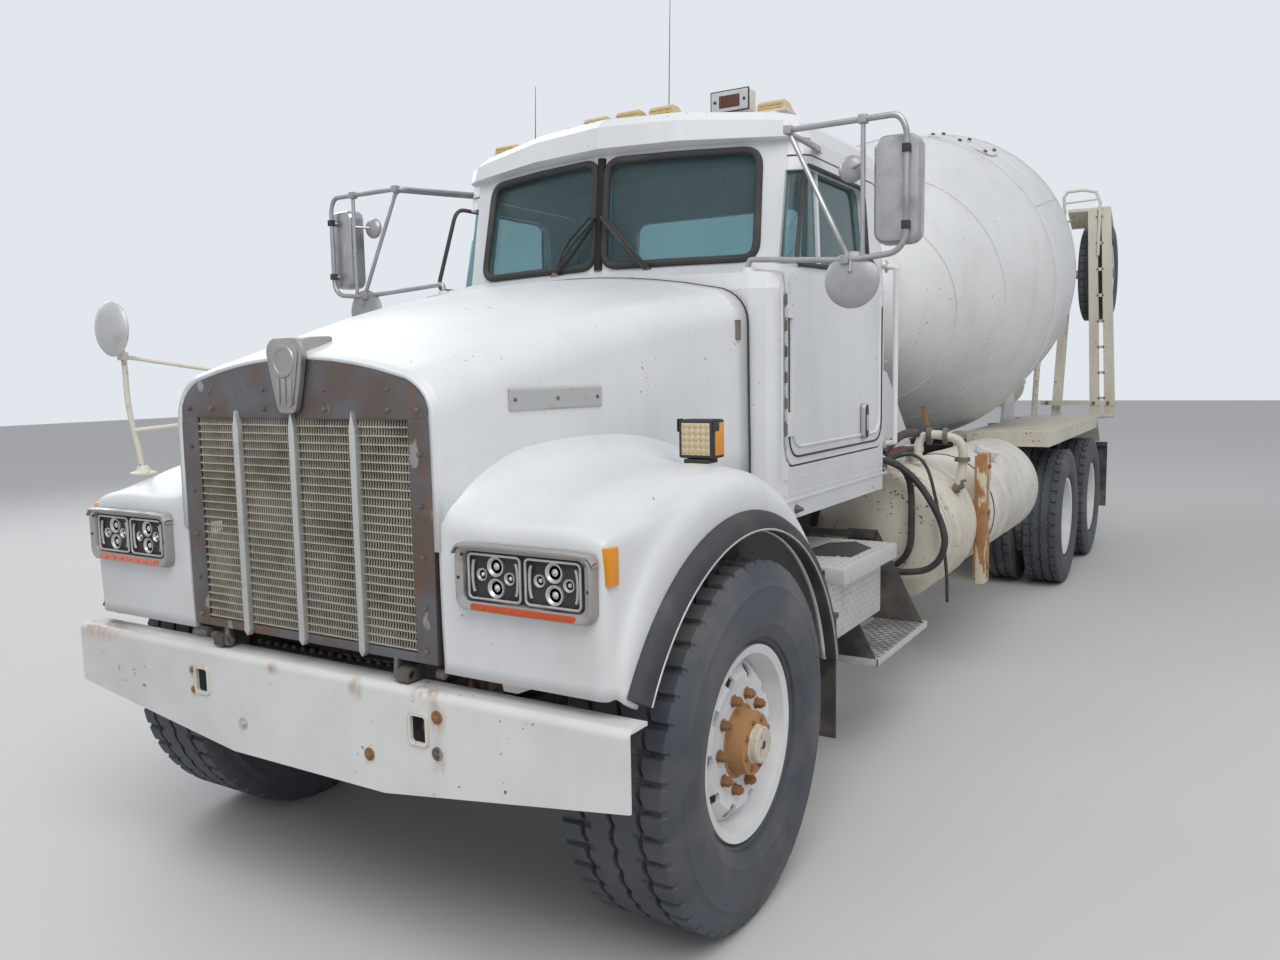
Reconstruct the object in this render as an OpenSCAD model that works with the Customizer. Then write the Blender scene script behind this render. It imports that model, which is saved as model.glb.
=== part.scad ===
// Concrete mixer truck: conventional tractor, inclined drum, raised booster axle.
// Millimetres. X is across the truck, +X its left side. Every module is drawn in
// stations: Y counts back from the bumper's face and Z counts up from the ground.
// station() then moves the truck's middle to Y = 0.

/* [Chassis] */
// Station of the steered front axle
front_axle_y = 750; // [730:5:770]
// Station of the first drive axle
drive_axle_y = 6400; // [6350:10:6450]
// Distance between the two drive axles
tandem_gap = 1350; // [1330:10:1380]
// Outer face of each frame rail from the middle
rail_x = 432; // [424:1:438]
// Height of a frame rail
rail_h = 270; // [250:5:280]
// Width of a rail's flanges
rail_flange = 80; // [70:5:90]
// Plate thickness of a rail
rail_t = 10; // [8:1:12]
// Top of the frame rails above the ground
frame_top = 1010; // [1005:1:1015]
// Station where the rails end
frame_end = 8850; // [8830:10:8860]
// Width of the bumper
bumper_w = 2300; // [2260:10:2340]
// Height of the bumper's top edge
bumper_top = 838; // [832:1:840]
// Depth of the bumper's rolled edge
bumper_d = 88; // [80:1:90]

/* [Wheels] */
// Radius of a front tyre
front_r = 560; // [550:1:565]
// Width of a front tyre
front_w = 390; // [380:1:395]
// Outer face of a front tyre from the middle
front_out = 1160; // [1150:1:1165]
// Kingpin distance from the middle
kingpin_x = 840; // [835:1:845]
// Radius of a drive tyre
drive_r = 520; // [512:1:524]
// Width of a drive tyre
drive_w = 275; // [268:1:280]
// Outer face of the outer drive tyre from the middle
drive_out = 1208; // [1200:1:1212]
// Distance between the middles of a pair of drive tyres
dual_gap = 330; // [322:1:334]
// Radius of a booster tyre
booster_r = 480; // [470:1:485]
// Width of a booster tyre
booster_w = 280; // [270:1:285]
// Bead radius shared by all the rims
bead_r = 286; // [284:1:288]

/* [Cab and hood] */
// Half width of the cab's sides
cab_x = 900; // [895:1:905]
// Station of the cab's back
cab_back = 2770; // [2750:5:2790]
// Height of the cab's floor
cab_floor = 1120; // [1110:1:1130]
// Thickness of the cab's walls and doors
cab_wall = 45; // [40:1:50]
// Gap round a door
door_gap = 8; // [7:1:9]
// Half width of the hood at the grille
hood_x0 = 560; // [555:1:565]
// Half width of the hood at its rear edge
hood_x1 = 790; // [785:1:795]
// Station of the hood's rear edge
hood_back = 1450; // [1445:1:1452]
// Thickness of the hood's moulded skin
hood_t = 22; // [18:1:26]
// Radius of the front wheel arches
arch_r = 700; // [698:1:704]
// Radial width of a rubber flare
flare_w = 80; // [70:1:90]

/* [Drum] */
// Station of the drum's front flange
drum_y = 4600; // [4580:5:4620]
// Height of the drum's axis at its front flange
drum_z = 2013; // [2010:1:2020]
// Slope of the drum's axis, in degrees
drum_tilt = 11.4; // [11:0.1:12]
// Largest radius of the drum
drum_r = 1155; // [1145:1:1160]
// Plate thickness of the drum
drum_t = 10; // [8:1:12]
// Length of the drum along its axis
drum_l = 4390; // [4370:5:4400]
// Radius of the drum's mouth
mouth_r = 580; // [560:1:590]
// Height of the roller track over the drum's skin
track_h = 45; // [42:1:48]
// Radius of a roller under the track
roller_r = 130; // [125:1:135]

/* [Rear gear] */
// Station of the booster arm's pivot
arm_y = 8960; // [8955:1:8970]
// Height of the booster arm's pivot
arm_z = 1120; // [1115:1:1125]
// Length of the booster arm from pivot to axle
arm_l = 1580; // [1570:1:1590]
// Angle of the raised booster arm over the level
arm_up = 71.5; // [71:0.1:72]
// Distance from the drum's mouth back to the chute's swivel
mouth_gap = 187; // [180:1:195]
// Length of the main chute
chute_l = 700; // [680:5:710]
// Inner radius of the chute's trough
chute_r = 230; // [220:1:240]

/* [Hidden] */
$fn = 48;

// Seating gap between pieces of one body, and between shafts and their bores
fit = 0.3;
rail_bottom = frame_top - rail_h;
drive_axle2_y = drive_axle_y + tandem_gap;
front_mid = front_out - front_w / 2;
dual_mid = drive_out - drive_w / 2 - dual_gap / 2;
booster_mid = 985;
booster_y = arm_y + arm_l * cos(arm_up);
booster_z = arm_z + arm_l * sin(arm_up);
overall_l = booster_y + booster_r;

// Hood tilt hinge, at the foot of the grille
hinge_y = 40;
hinge_z = 862;
// Middle of the front wheel arch
arch_y = 730;
arch_z = 510;
fender_x = 1105;

white = [0.86, 0.86, 0.84];
cream = [0.80, 0.76, 0.66];
dark = [0.13, 0.14, 0.16];
steel = [0.55, 0.54, 0.52];
rust = [0.45, 0.28, 0.16];
black = [0.07, 0.07, 0.08];
clear = [0.55, 0.68, 0.66];
amber = [0.86, 0.55, 0.12];

module station() { translate([0, -overall_l / 2, 0]) children(); }
module both() { children(); mirror([1, 0, 0]) children(); }

// A round bar from a to b
module bar(a, b, r) {
  d = b - a;
  l = norm(d);
  translate(a) rotate([0, acos(d[2] / l), atan2(d[1], d[0])]) cylinder(h = l, r = r, $fn = 24);
}
// A bent tube through a list of points
module tube(pts, r) {
  for (i = [0:len(pts) - 2]) bar(pts[i], pts[i + 1], r);
  for (i = [1:len(pts) - 2]) translate(pts[i]) sphere(r = r + 0.6, $fn = 24);
}
// A flat plate of a Y-Z outline, from x0 to x1
module side_plate(pts, x0, x1) {
  translate([x0, 0, 0]) rotate([90, 0, 90]) linear_extrude(height = x1 - x0) polygon(pts);
}
// A flat plate of an X-Z outline, from y0 to y1
module front_plate(pts, y0, y1) {
  translate([0, y1, 0]) rotate([90, 0, 0]) linear_extrude(height = y1 - y0) polygon(pts);
}
module box(x0, x1, y0, y1, z0, z1) { translate([x0, y0, z0]) cube([x1 - x0, y1 - y0, z1 - z0]); }
// A round box outline
module round_rect(w, h, r) {
  translate([-w / 2 + r, -h / 2]) square([w - 2 * r, h]);
  translate([-w / 2, -h / 2 + r]) square([w, h - 2 * r]);
  for (x = [-1, 1], y = [-1, 1]) translate([x * (w / 2 - r), y * (h / 2 - r)]) circle(r = r);
}

// Corner points of an outline rounded by arcs of radius r, n steps a corner
function unit(v) = v / norm(v);
function round_corners(p, r, n = 3) = [for (i = [0:len(p) - 1])
  let (c = p[i], a = unit(p[(i + len(p) - 1) % len(p)] - c), b = unit(p[(i + 1) % len(p)] - c),
       h = acos(a * b) / 2, m = unit(a + b) * r / sin(h), q = c + m,
       s = c + a * r / tan(h) - q, e = c + b * r / tan(h) - q)
  each [for (k = [0:n]) let (w = k / n, g = acos(s * e / (r * r)))
    q + (s * sin((1 - w) * g) + e * sin(w * g)) / sin(g)]];

// Skin between an outer and an inner grid of points of the same size
module skin(outer, inner) {
  n = len(outer);
  m = len(outer[0]);
  o = n * m;
  polyhedron(
    points = concat([for (r = outer) each r], [for (r = inner) each r]),
    faces = concat(
      [for (i = [0:n - 2], j = [0:m - 2]) let (a = i * m + j, b = a + 1, c = a + m + 1, d = a + m)
        each [[a, b, c], [a, c, d], [o + a, o + c, o + b], [o + a, o + d, o + c]]],
      [for (j = [0:m - 2]) let (a = j, b = j + 1) each [[a, o + a, o + b], [a, o + b, b]]],
      [for (j = [0:m - 2]) let (a = (n - 1) * m + j, b = a + 1) each [[a, o + b, o + a], [a, b, o + b]]],
      [for (i = [0:n - 2]) let (a = i * m, d = a + m) each [[a, d, o + d], [a, o + d, o + a]]],
      [for (i = [0:n - 2]) let (a = i * m + m - 1, d = a + m) each [[a, o + a, o + d], [a, o + d, d]]]));
}
// Solid through closed rings of points, bottom ring first. Each ring starts at its
// middle front and is the same on both sides, so its lids are strips across.
module loft(rings) {
  n = len(rings);
  m = len(rings[0]);
  h = m / 2;
  t = (n - 1) * m;
  polyhedron(
    points = [for (r = rings) each r],
    faces = concat(
      [[0, 1, m - 1], [h, h + 1, h - 1]],
      [for (i = [1:h - 2]) each [[i, i + 1, m - i - 1], [i, m - i - 1, m - i]]],
      [for (i = [0:n - 2], j = [0:m - 1]) let (a = i * m + j, b = i * m + (j + 1) % m)
        each [[a, a + m, b + m], [a, b + m, b]]],
      [[t, t + m - 1, t + 1], [t + h, t + h - 1, t + h + 1]],
      [for (i = [1:h - 2]) each [[t + i, t + m - i - 1, t + i + 1], [t + i, t + m - i, t + m - i - 1]]]));
}

// Chassis
// Station of each cross-member between the rails
cross_y = [340, 2480, 3450, 4150, 4950, 5800, 7075, 8100, 8780];
cross_h = 110;
rail_start = 5 + bumper_d + fit;
// Top of the longest spring leaf at station y
function leaf_top(y) = front_r + 65.2 + 0.08 * abs(y - front_axle_y);
hinge_pin = 12;

module rail() {
  // Channel section, open to the inside
  translate([rail_x, rail_start, 0]) rotate([90, 0, 180])
    linear_extrude(height = frame_end - rail_start) polygon([[0, rail_bottom], [rail_flange, rail_bottom],
      [rail_flange, rail_bottom + rail_t], [rail_t, rail_bottom + rail_t], [rail_t, frame_top - rail_t],
      [rail_flange, frame_top - rail_t], [rail_flange, frame_top], [0, frame_top]]);
}
module chassis_frame() color(dark) {
  both() rail();
  for (y = cross_y) difference() {
    box(-rail_x + rail_t, rail_x - rail_t, y, y + 70, frame_top - rail_t - cross_h, frame_top - rail_t);
    box(-rail_x, rail_x, y + 8, y + 80, frame_top - rail_t - cross_h + 8, frame_top - rail_t - 8);
  }
  // Cab mounts, spring hangers and the booster's pivot brackets
  both() {
    for (y = [1560, 2640]) box(rail_x - rail_flange, rail_x + 60, y, y + 90, frame_top, cab_floor - fit);
    for (y = [185, 1255]) side_plate([[y, leaf_top(y) + fit], [y + 60, leaf_top(y + 60) + fit], [y + 60, rail_bottom + 1], [y, rail_bottom + 1]], rail_x - 80, rail_x - 10);
    // Hood hinge brackets
    difference() {
      side_plate([[22, 846], [rail_start, 846], [rail_start, 800], [rail_start + 30, 800], [rail_start + 30, 900], [22, 878]], rail_x - 52, rail_x - 9.9);
      translate([rail_x - 53, hinge_y, hinge_z]) rotate([0, 90, 0]) cylinder(h = 50, r = hinge_pin + fit);
    }
    difference() {
      side_plate([[frame_end - 260, rail_bottom + 20], [frame_end, rail_bottom + 20], [arm_y + 60, arm_z - 90],
        [arm_y + 60, arm_z + 50], [arm_y - 60, arm_z + 60], [frame_end - 260, frame_top]], rail_x, rail_x + 16);
      translate([rail_x - 1, arm_y, arm_z]) rotate([0, 90, 0]) cylinder(h = 20, r = 38 + fit);
    }
  }
}

module front_bumper() color(white) translate([0, 5, 0]) {
  r = 24;
  difference() {
    intersection() {
      translate([-bumper_w / 2, 0, 0]) rotate([90, 0, 90]) linear_extrude(height = bumper_w)
        difference() {
          union() {
            translate([0, 400]) square([bumper_d, bumper_top - 400 - r]);
            translate([r, bumper_top - r]) square([bumper_d - r, r]);
            translate([r, bumper_top - r]) circle(r = r);
          }
          translate([8, 390]) square([bumper_d, bumper_top - 390 - 10]);
        }
      front_plate([[-bumper_w / 2, 632], [-330, 517], [330, 517], [bumper_w / 2, 632],
        [bumper_w / 2, bumper_top + 1], [-bumper_w / 2, bumper_top + 1]], -1, bumper_d + 1);
    }
    // Tow hook windows
    for (x = [-470, 470]) translate([x, -1, 727]) rotate([-90, 0, 0]) linear_extrude(height = 12) round_rect(56, 76, 10);
  }
  // Raised rims round the windows
  for (x = [-470, 470]) translate([x, 0, 727]) rotate([90, 0, 0]) linear_extrude(height = 5)
    difference() { round_rect(72, 92, 14); round_rect(56, 76, 10); }
}

module front_axle() color(dark) {
  z = front_r;
  // Forged I-beam, dropped between the springs, with kingpin bosses
  difference() {
    union() {
      front_plate([[-kingpin_x, z - 45], [-560, z - 45], [-480, z - 95], [480, z - 95], [560, z - 45], [kingpin_x, z - 45],
        [kingpin_x, z + 45], [560, z + 45], [480, z - 5], [-480, z - 5], [-560, z + 45], [-kingpin_x, z + 45]],
        front_axle_y - 45, front_axle_y + 45);
      for (s = [-1, 1]) translate([s * kingpin_x, front_axle_y, z - 60]) cylinder(h = 120, r = 52);
    }
    for (s = [-1, 1]) {
      translate([s * kingpin_x, front_axle_y, z - 61]) cylinder(h = 122, r = 24 + fit);
      front_plate([[-470, z - 78], [470, z - 78], [470, z - 22], [-470, z - 22]],
        front_axle_y + s * 46 - 36 / 2 - s * 18, front_axle_y + s * 46 + 36 / 2 - s * 18);
    }
  }
  // Leaf springs from hanger to hanger, clamped on the beam
  both() {
    for (i = [0:4]) let (l = 560 - i * 100, x = rail_x - 48, a = z - 5 + (4 - i) * 14, b = l * l / 7000)
      side_plate([[front_axle_y - l, a + b], [front_axle_y, a], [front_axle_y + l, a + b], [front_axle_y + l, a + b + 14.2],
        [front_axle_y, a + 14.2], [front_axle_y - l, a + b + 14.2]], x - 38, x + 38);
    box(rail_x - 92, rail_x - 4, front_axle_y - 44, front_axle_y + 44, z - 6, z + 74);
  }
}

module drive_axles() color(dark) {
  for (y = [drive_axle_y, drive_axle2_y]) {
    translate([0, y, drive_r]) {
      // Housing with its differential, then the spindles
      rotate([0, 90, 0]) translate([0, 0, -560]) cylinder(h = 1120, r = 72);
      sphere(r = 190);
      for (s = [-1, 1]) rotate([0, s * 90, 0]) translate([0, 0, 560]) cylinder(h = dual_mid - 560 + 60, r = 50);
      rotate([90, 0, 0]) cylinder(h = 250, r = 90);
    }
  }
  // Walking beams under the axles, springs over them
  both() {
    ym = (drive_axle_y + drive_axle2_y) / 2;
    side_plate([[drive_axle_y - 90, drive_r - 160], [ym, drive_r - 220], [drive_axle2_y + 90, drive_r - 160],
      [drive_axle2_y + 90, drive_r - 72 - fit], [ym, drive_r - 90], [drive_axle_y - 90, drive_r - 72 - fit]], rail_x - 110, rail_x - 20);
    side_plate([[ym - 160, rail_bottom - fit], [ym - 90, drive_r - 110], [ym + 90, drive_r - 110], [ym + 160, rail_bottom - fit]],
      rail_x - 105, rail_x - 25);
  }
  // Propeller shafts
  bar([0, 2465, 820], [0, drive_axle_y - 250, drive_r], 55);
  bar([0, drive_axle_y + 189, drive_r], [0, drive_axle2_y - 250, drive_r], 50);
}

module engine_block() color(steel) {
  box(-300, 300, 430, 1380, 720, 1060);
  box(-330, 330, 430, 1380, 1060, 1560);
  // Feet on the rails, flywheel end and gearbox under the cab
  both() for (y = [520, 1200]) box(299, rail_x - 20, y, y + 90, frame_top + fit, frame_top + 60);
  box(-260, 260, 1380, 1620, 700, 1080);
  box(-190, 190, 1620, 2300, 720, 1070);
  translate([0, 2300, 820]) rotate([-90, 0, 0]) cylinder(h = 160 - fit, r = 66);
}

module radiator() color(black) {
  box(-430, 430, 110, 210, 1030, 1560);
  box(-400, 400, 110, 230, 1560, 1610);
  // Bottom tank between the rails and feet on them
  box(-335, 335, 110, 230, 900, 1030);
  both() box(rail_x - 70, rail_x - 20, 130, 200, frame_top + fit, 1031);
  // Fan shroud
  difference() {
    translate([0, 210, 1230]) rotate([-90, 0, 0]) cylinder(h = 120, r = 330);
    translate([0, 230, 1230]) rotate([-90, 0, 0]) cylinder(h = 120, r = 305);
  }
}

// Cab
// Levels of the cab: height, crown over the middle, front at the middle, front
// corner x and y, half width, where the side begins, and the back
cab_rows = [
  [cab_floor, 0, 1466, cab_x - 120, 1474, cab_x, 1560, cab_back],
  [1990, 0, 1468, cab_x - 120, 1476, cab_x, 1562, cab_back],
  [2045, 20, 1480, cab_x - 125, 1490, cab_x - 1, 1580, cab_back],
  [2105, 10, 1655, cab_x - 180, 1745, cab_x - 6, 1800, cab_back],
  [2590, 10, 1708, cab_x - 195, 1836, cab_x - 40, 1895, cab_back - 8],
  [2592, 28, 1662, cab_x - 190, 1795, cab_x - 41, 1880, cab_back - 8],
  [2650, 60, 1676, cab_x - 200, 1800, cab_x - 56, 1888, cab_back - 14],
  [2690, 60, 1720, cab_x - 230, 1835, cab_x - 95, 1920, cab_back - 45],
  [2712, 58, 1880, cab_x - 400, 1960, cab_x - 260, 2060, cab_back - 220],
  [2766, 8, 2020, cab_x - 740, 2040, cab_x - 700, 2080, cab_back - 330]];

function cab_half(r) = let (xc = r[3], yc = r[4], xs = r[5], ys = r[6], yb = r[7], rb = 70)
  [[xc * 0.5, r[2] + (yc - r[2]) * 0.32], [xc, yc],
   [xc + (xs - xc) * 0.52, yc + (ys - yc) * 0.2], [xc + (xs - xc) * 0.86, yc + (ys - yc) * 0.55],
   [xs, ys], [xs, ys + (yb - ys) * 0.5], [xs, yb - rb], [xs - rb * 0.3, yb - rb * 0.3], [xs - rb, yb], [xs * 0.5, yb + 3]];
function cab_ring(r) = let (h = cab_half(r), n = len(h), lift = function (x) r[0] + r[1] * (1 - pow(x / r[5], 2)))
  concat([[0, r[2], r[0] + r[1]]], [for (p = h) [p[0], p[1], lift(p[0])]],
    [[0, r[7] + 4, r[0] + r[1]]], [for (i = [n - 1:-1:0]) [-h[i][0], h[i][1], lift(h[i][0])]]);
// A level drawn in by d on all sides, and by dz in height
function cab_in(r, d, dz) = [r[0] + dz, r[1], r[2] + d, r[3] - d * 0.6, r[4] + d, r[5] - d, r[6] + d * 0.6, r[7] - d];

// The cab's levels as one solid. Drawn in by d it is the space inside the walls,
// which has no visor, so those two levels are left out.
module cab_solid(d = 0) {
  rows = [for (i = [0:len(cab_rows) - 1]) if (d == 0 || (i != 5 && i != 6)) i];
  loft([for (i = rows) cab_ring(cab_in(cab_rows[i], d, i == 0 ? d : i == 3 || i > 6 ? -d : 0))]);
}
module cab_walls(d0 = 0, d1 = cab_wall) {
  difference() { cab_solid(d0); cab_solid(d1); }
}
door_front = 1545;
door_rear = 2690;
door_foot = 1320;
door_top = 2530;
// Door outline in Y-Z, drawn in by g
function door_outline(g) = round_corners([[door_front + g, door_foot + g], [door_rear - g, door_foot + g],
  [door_rear - g, door_top - g], [door_front + 190 + g, door_top - g], [door_front + g, 2060]], 55);
function door_window(g) = round_corners([[1650 + g, 2090 + g], [2480 - g, 2120 + g], [2450 - g, 2470 - g], [1782 + g, 2470 - g]], 50);
// Roof lamps: distance from the middle and height of their pads
roof_lamps = [[-680, 2722], [-170, 2776], [0, 2780], [170, 2776], [680, 2722]];
windscreen_z0 = 2135;
windscreen_z1 = 2560;
function screen_half(g) = round_corners([[25 + g, windscreen_z0 + g], [690 - g, windscreen_z0 - 5 + g],
  [672 - g, windscreen_z1 - g], [25 + g, windscreen_z1 + 15 - g]], 40);
rear_window = round_corners([[-480, 2120], [480, 2120], [460, 2470], [-460, 2470]], 50);

module cab_shell() color(white) {
  difference() {
    cab_walls();
    both() {
      side_plate(door_outline(0), 780, 960);
      front_plate(screen_half(0), 1560, 1990);
    }
    front_plate(rear_window, cab_back - 80, cab_back + 10);
  }
  // Grab rail behind each door, pads under the mirror feet and the roof lamps
  both() {
    tube([[cab_x - 30, 2722, 1330], [cab_x + 50, 2722, 1340], [cab_x + 50, 2722, 2150], [cab_x - 34, 2722, 2165]], 12);
    box(835, 885, 1925, 1955, 2540, 2580);
    translate([755, 1530, 2035]) cylinder(h = 34, r = 24);
  }
  for (l = roof_lamps) translate([l[0], 1960, l[1] - 30]) cylinder(h = 30, r = 62);
  translate([500, 2020, 2720]) cylinder(h = 30, r = 26);
}
module cab_glass() color(clear) {
  intersection() {
    cab_walls(18, 24);
    union() {
      both() front_plate(screen_half(fit), 1560, 1990);
      front_plate([for (p = rear_window) [p[0] * 0.999, p[1]]], cab_back - 80, cab_back + 10);
    }
  }
}
module cab_interior() color(black) {
  z = cab_floor + cab_wall + fit;
  // Dashboard under the windscreen
  side_plate([[1531, 1560], [1720, 1600], [1790, 1900], [1700, 2010], [1531, 1960]], -790, 790);
  // Two seats on their boxes
  for (x = [-430, 430]) {
    translate([x, 2230, z]) {
      box(-190, 190, -190, 170, 0, 250);
      side_plate([[-250, 250], [230, 250], [260, 330], [200, 360], [-240, 380]], -245, 245);
      side_plate([[175, 355], [275, 330], [400, 1000], [340, 1010]], -235, 235);
    }
  }
  // Steering wheel and column
  translate([430, 1900, 1900]) rotate([-62, 0, 0]) {
    rotate_extrude() translate([225, 0]) circle(r = 16, $fn = 24);
    cylinder(h = 30, r = 60);
    for (a = [90, 210, 330]) rotate([0, 0, a]) translate([40, -14, 4]) cube([180, 28, 14]);
  }
  bar([430, 1902, 1901], [430, 1770, 1831], 28);
  // Pedal block and gear lever
  bar([80, 1880, z + 1], [80, 1860, z + 560], 14);
  translate([80, 1860, z + 580]) sphere(r = 32);
}

module lamps() color(amber) {
  for (l = roof_lamps) translate([l[0], 1960, l[1] + fit]) intersection() {
    translate([0, 0, -12]) sphere(r = 58);
    cylinder(h = 60, r = 60);
  }
  // Box lamp on the roof
  translate([500, 2020, 2750 + fit]) { box(-100, 100, -45, 45, 40, 150); cylinder(h = 41, r = 20); }
  // Tail lamps on the frame's end
  for (x = [-300, -180, 180, 300]) translate([x, frame_end + fit, 945]) rotate([-90, 0, 0]) cylinder(h = 40, r = 50);
}

module mirrors() color(steel) both() {
  y = 1500;
  // Loop frame, head, two round mirrors and their arms
  tube([[877, 1923.2, 2560], [932, y, 2565], [1305, y, 2556], [1326, y, 2498]], 11);
  tube([[1318, y, 2108], [1180, y, 2087], [755, 1530, 2110], [755, 1530, 2069 + fit]], 11);
  bar([950, y, 2556], [1172, y, 2090], 9);
  translate([1330, y + 5, 2300]) rotate([0, 0, 6]) {
    difference() {
      rotate([90, 0, 0]) translate([0, 0, -38]) linear_extrude(height = 76) round_rect(178, 406, 40);
      rotate([90, 0, 0]) translate([0, 0, -40]) linear_extrude(height = 12) round_rect(162, 390, 34);
    }
  }
  translate([1170, y, 1985]) rotate([90, 0, 0]) translate([0, 0, -12]) cylinder(h = 30, r = 100);
  translate([1145, y + 6, 2385]) rotate([90, 0, 0]) translate([0, 0, -12]) cylinder(h = 24, r = 50);
  bar([1130, y + 4, 2383], [1042, y, 2372], 7);
}

// Steps, tanks and hoses
module side_steps() color(steel) both() {
  // Upper box step
  side_plate([[1600, 640], [2250, 640], [2250, 940], [1600, 940]], 700, 1040);
  side_plate([[1600, 880], [2250, 880], [2250, 945], [1600, 945]], 1040, 1110);
  box(rail_x + fit, 701, 1700, 1760, 760, 860);
  box(rail_x + fit, 701, 2120, 2180, 760, 860);
  // Lower tread on hangers
  box(830, 1085, 2080, 2840, 440, 470);
  box(830, 850, 2080, 2110, 470, 900);
  box(830, 850, 2775, 2800, 470, 900);
  box(rail_x + fit, 850, 2775, 2800, 860, 900);
}

module band_tank(y0, y1, x, z, r) {
  translate([x, y0, z]) rotate([-90, 0, 0]) {
    cylinder(h = 30, r1 = r - 60, r2 = r - 8);
    translate([0, 0, 30]) cylinder(h = y1 - y0 - 60, r = r);
    translate([0, 0, y1 - y0 - 30]) cylinder(h = 30, r1 = r - 8, r2 = r - 60);
  }
}
module water_tank() color(cream) {
  band_tank(2900, 3560, 815, 850, 340);
  // Saddles to the rail
  for (y = [3010, 3420]) side_plate([[y, 780], [y + 50, 780], [y + 50, 960], [y, 960]], rail_x + fit, 520);
  translate([815, 3480, 1180]) cylinder(h = 90, r = 40);
  // Hose manifold in front of the tank's top, with the pipes back to the filler
  box(760, 830, 2935, 3000, 1150, 1262);
  box(760, 830, 2805, 3000, 1205, 1262);
  for (x = [-44, 0, 44]) tube([[795 + x * 0.5, 2990, 1238], [815 + x, 3080, 1262], [820 + x, 3300, 1266], [815 + x * 0.4, 3470, 1240]], 13);
  // Hose fittings on the rail
  box(rail_x + fit, 470, 2804, 2886, 806, 858);
  // Guard post and its top bracket
  box(1130, 1180, 3600, 3720, 510, 1220);
  box(rail_x + fit, 1131, 3640, 3690, 900, 960);
}
module fuel_tank() color(white) {
  both() {
    band_tank(3790, 5250, 850, 870, 325);
    for (y = [4100, 4900]) side_plate([[y, 780], [y + 60, 780], [y + 60, 960], [y, 960]], rail_x + fit, 560);
  }
}
// Tube swept along a route: a ring of n points at each point of the route, turned
// as little as possible from one ring to the next
module swept(route, r, n = 8) {
  m = len(route);
  t = [for (i = [0:m - 1]) unit(route[min(i + 1, m - 1)] - route[max(i - 1, 0)])];
  s = [for (i = 0, s = unit(cross(t[0], [0, 0.2, 1])); i < m; i = i + 1,
    s = i < m ? unit(s - (s * t[i]) * t[i]) : s) s];
  polyhedron(
    points = [for (i = [0:m - 1], k = [0:n - 1]) route[i] + r * (s[i] * cos(k * 360 / n) + cross(t[i], s[i]) * sin(k * 360 / n))],
    faces = concat([[for (k = [0:n - 1]) k]], [[for (k = [n - 1:-1:0]) (m - 1) * n + k]],
      [for (i = [0:m - 2], k = [0:n - 1]) let (a = i * n + k, b = i * n + (k + 1) % n) each [[a, a + n, b + n], [a, b + n, b]]]));
}
module hose_outer() color(black) swept(outer_route, 16);
module hose_inner() color(black) swept(inner_route, 16);
module hose_drain() color(black) swept(drain_route, 8);

// Routes of the three hoses, from the manifold: two back to the rail, one left hanging
outer_route = [[830.3, 2825, 1240], [880, 2825, 1240], [936, 2825, 1219], [1000, 2825, 1174], [1055, 2825, 1113],
  [1100, 2825, 1045], [1135, 2825, 980], [1158, 2825, 915], [1165, 2825, 860], [1144, 2825, 782], [1087, 2825, 726],
  [1010, 2825, 705], [930, 2825, 700], [850, 2825, 712], [770, 2825, 741], [690, 2825, 779], [615, 2825, 813],
  [545, 2825, 832], [470.3, 2825, 832]];
inner_route = [[830.3, 2865, 1240], [858, 2865, 1240], [894, 2865, 1233], [928, 2865, 1216], [956, 2865, 1190],
  [976, 2865, 1156], [987, 2865, 1110], [992, 2865, 1050], [993, 2865, 990], [993, 2865, 920], [991, 2865, 850],
  [979, 2865, 800], [952, 2865, 756], [913, 2865, 725], [865, 2865, 710], [805, 2865, 714], [745, 2865, 735],
  [690, 2865, 762], [640, 2865, 789], [585, 2865, 816], [530, 2865, 832], [470.3, 2865, 832]];
drain_route = [[830.3, 2905, 1242], [860, 2905, 1242], [900, 2903, 1251], [940, 2899, 1264], [978, 2895, 1269], [1012, 2892, 1258],
  [1040, 2889, 1234], [1062, 2887, 1200], [1078, 2886, 1158], [1091, 2885, 1110], [1103, 2885, 1060], [1114, 2885, 1010],
  [1124, 2885, 960], [1133, 2885, 910], [1141, 2885, 860], [1148, 2885, 810], [1154, 2885, 760], [1159, 2885, 710],
  [1162, 2885, 660], [1164, 2885, 610], [1165, 2885, 560]];

// Drum and its stands
// Drum profile: distance along the axis and radius
drum_rows = [[0, 290], [90, 410], [400, 668], [806, 900], [1286, drum_r], [2190, drum_r - 4], [drum_l, mouth_r]];
track_s = 3600;
// Where the gearbox seats, on the drum's axis
head_s = -320;
module on_axis(s = 0) {
  translate([0, drum_y, drum_z]) rotate([drum_tilt - 90, 0, 0]) translate([0, 0, s]) children();
}
function drum_at(s) = [0, drum_y + s * cos(drum_tilt), drum_z + s * sin(drum_tilt)];
cone_r = drum_r - 4 - (drum_r - 4 - mouth_r) * (track_s - 2190) / (drum_l - 2190);
track_r = cone_r + track_h;
mouth_z = drum_at(drum_l)[2];
swivel_y = drum_at(drum_l)[1] + mouth_gap;

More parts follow.
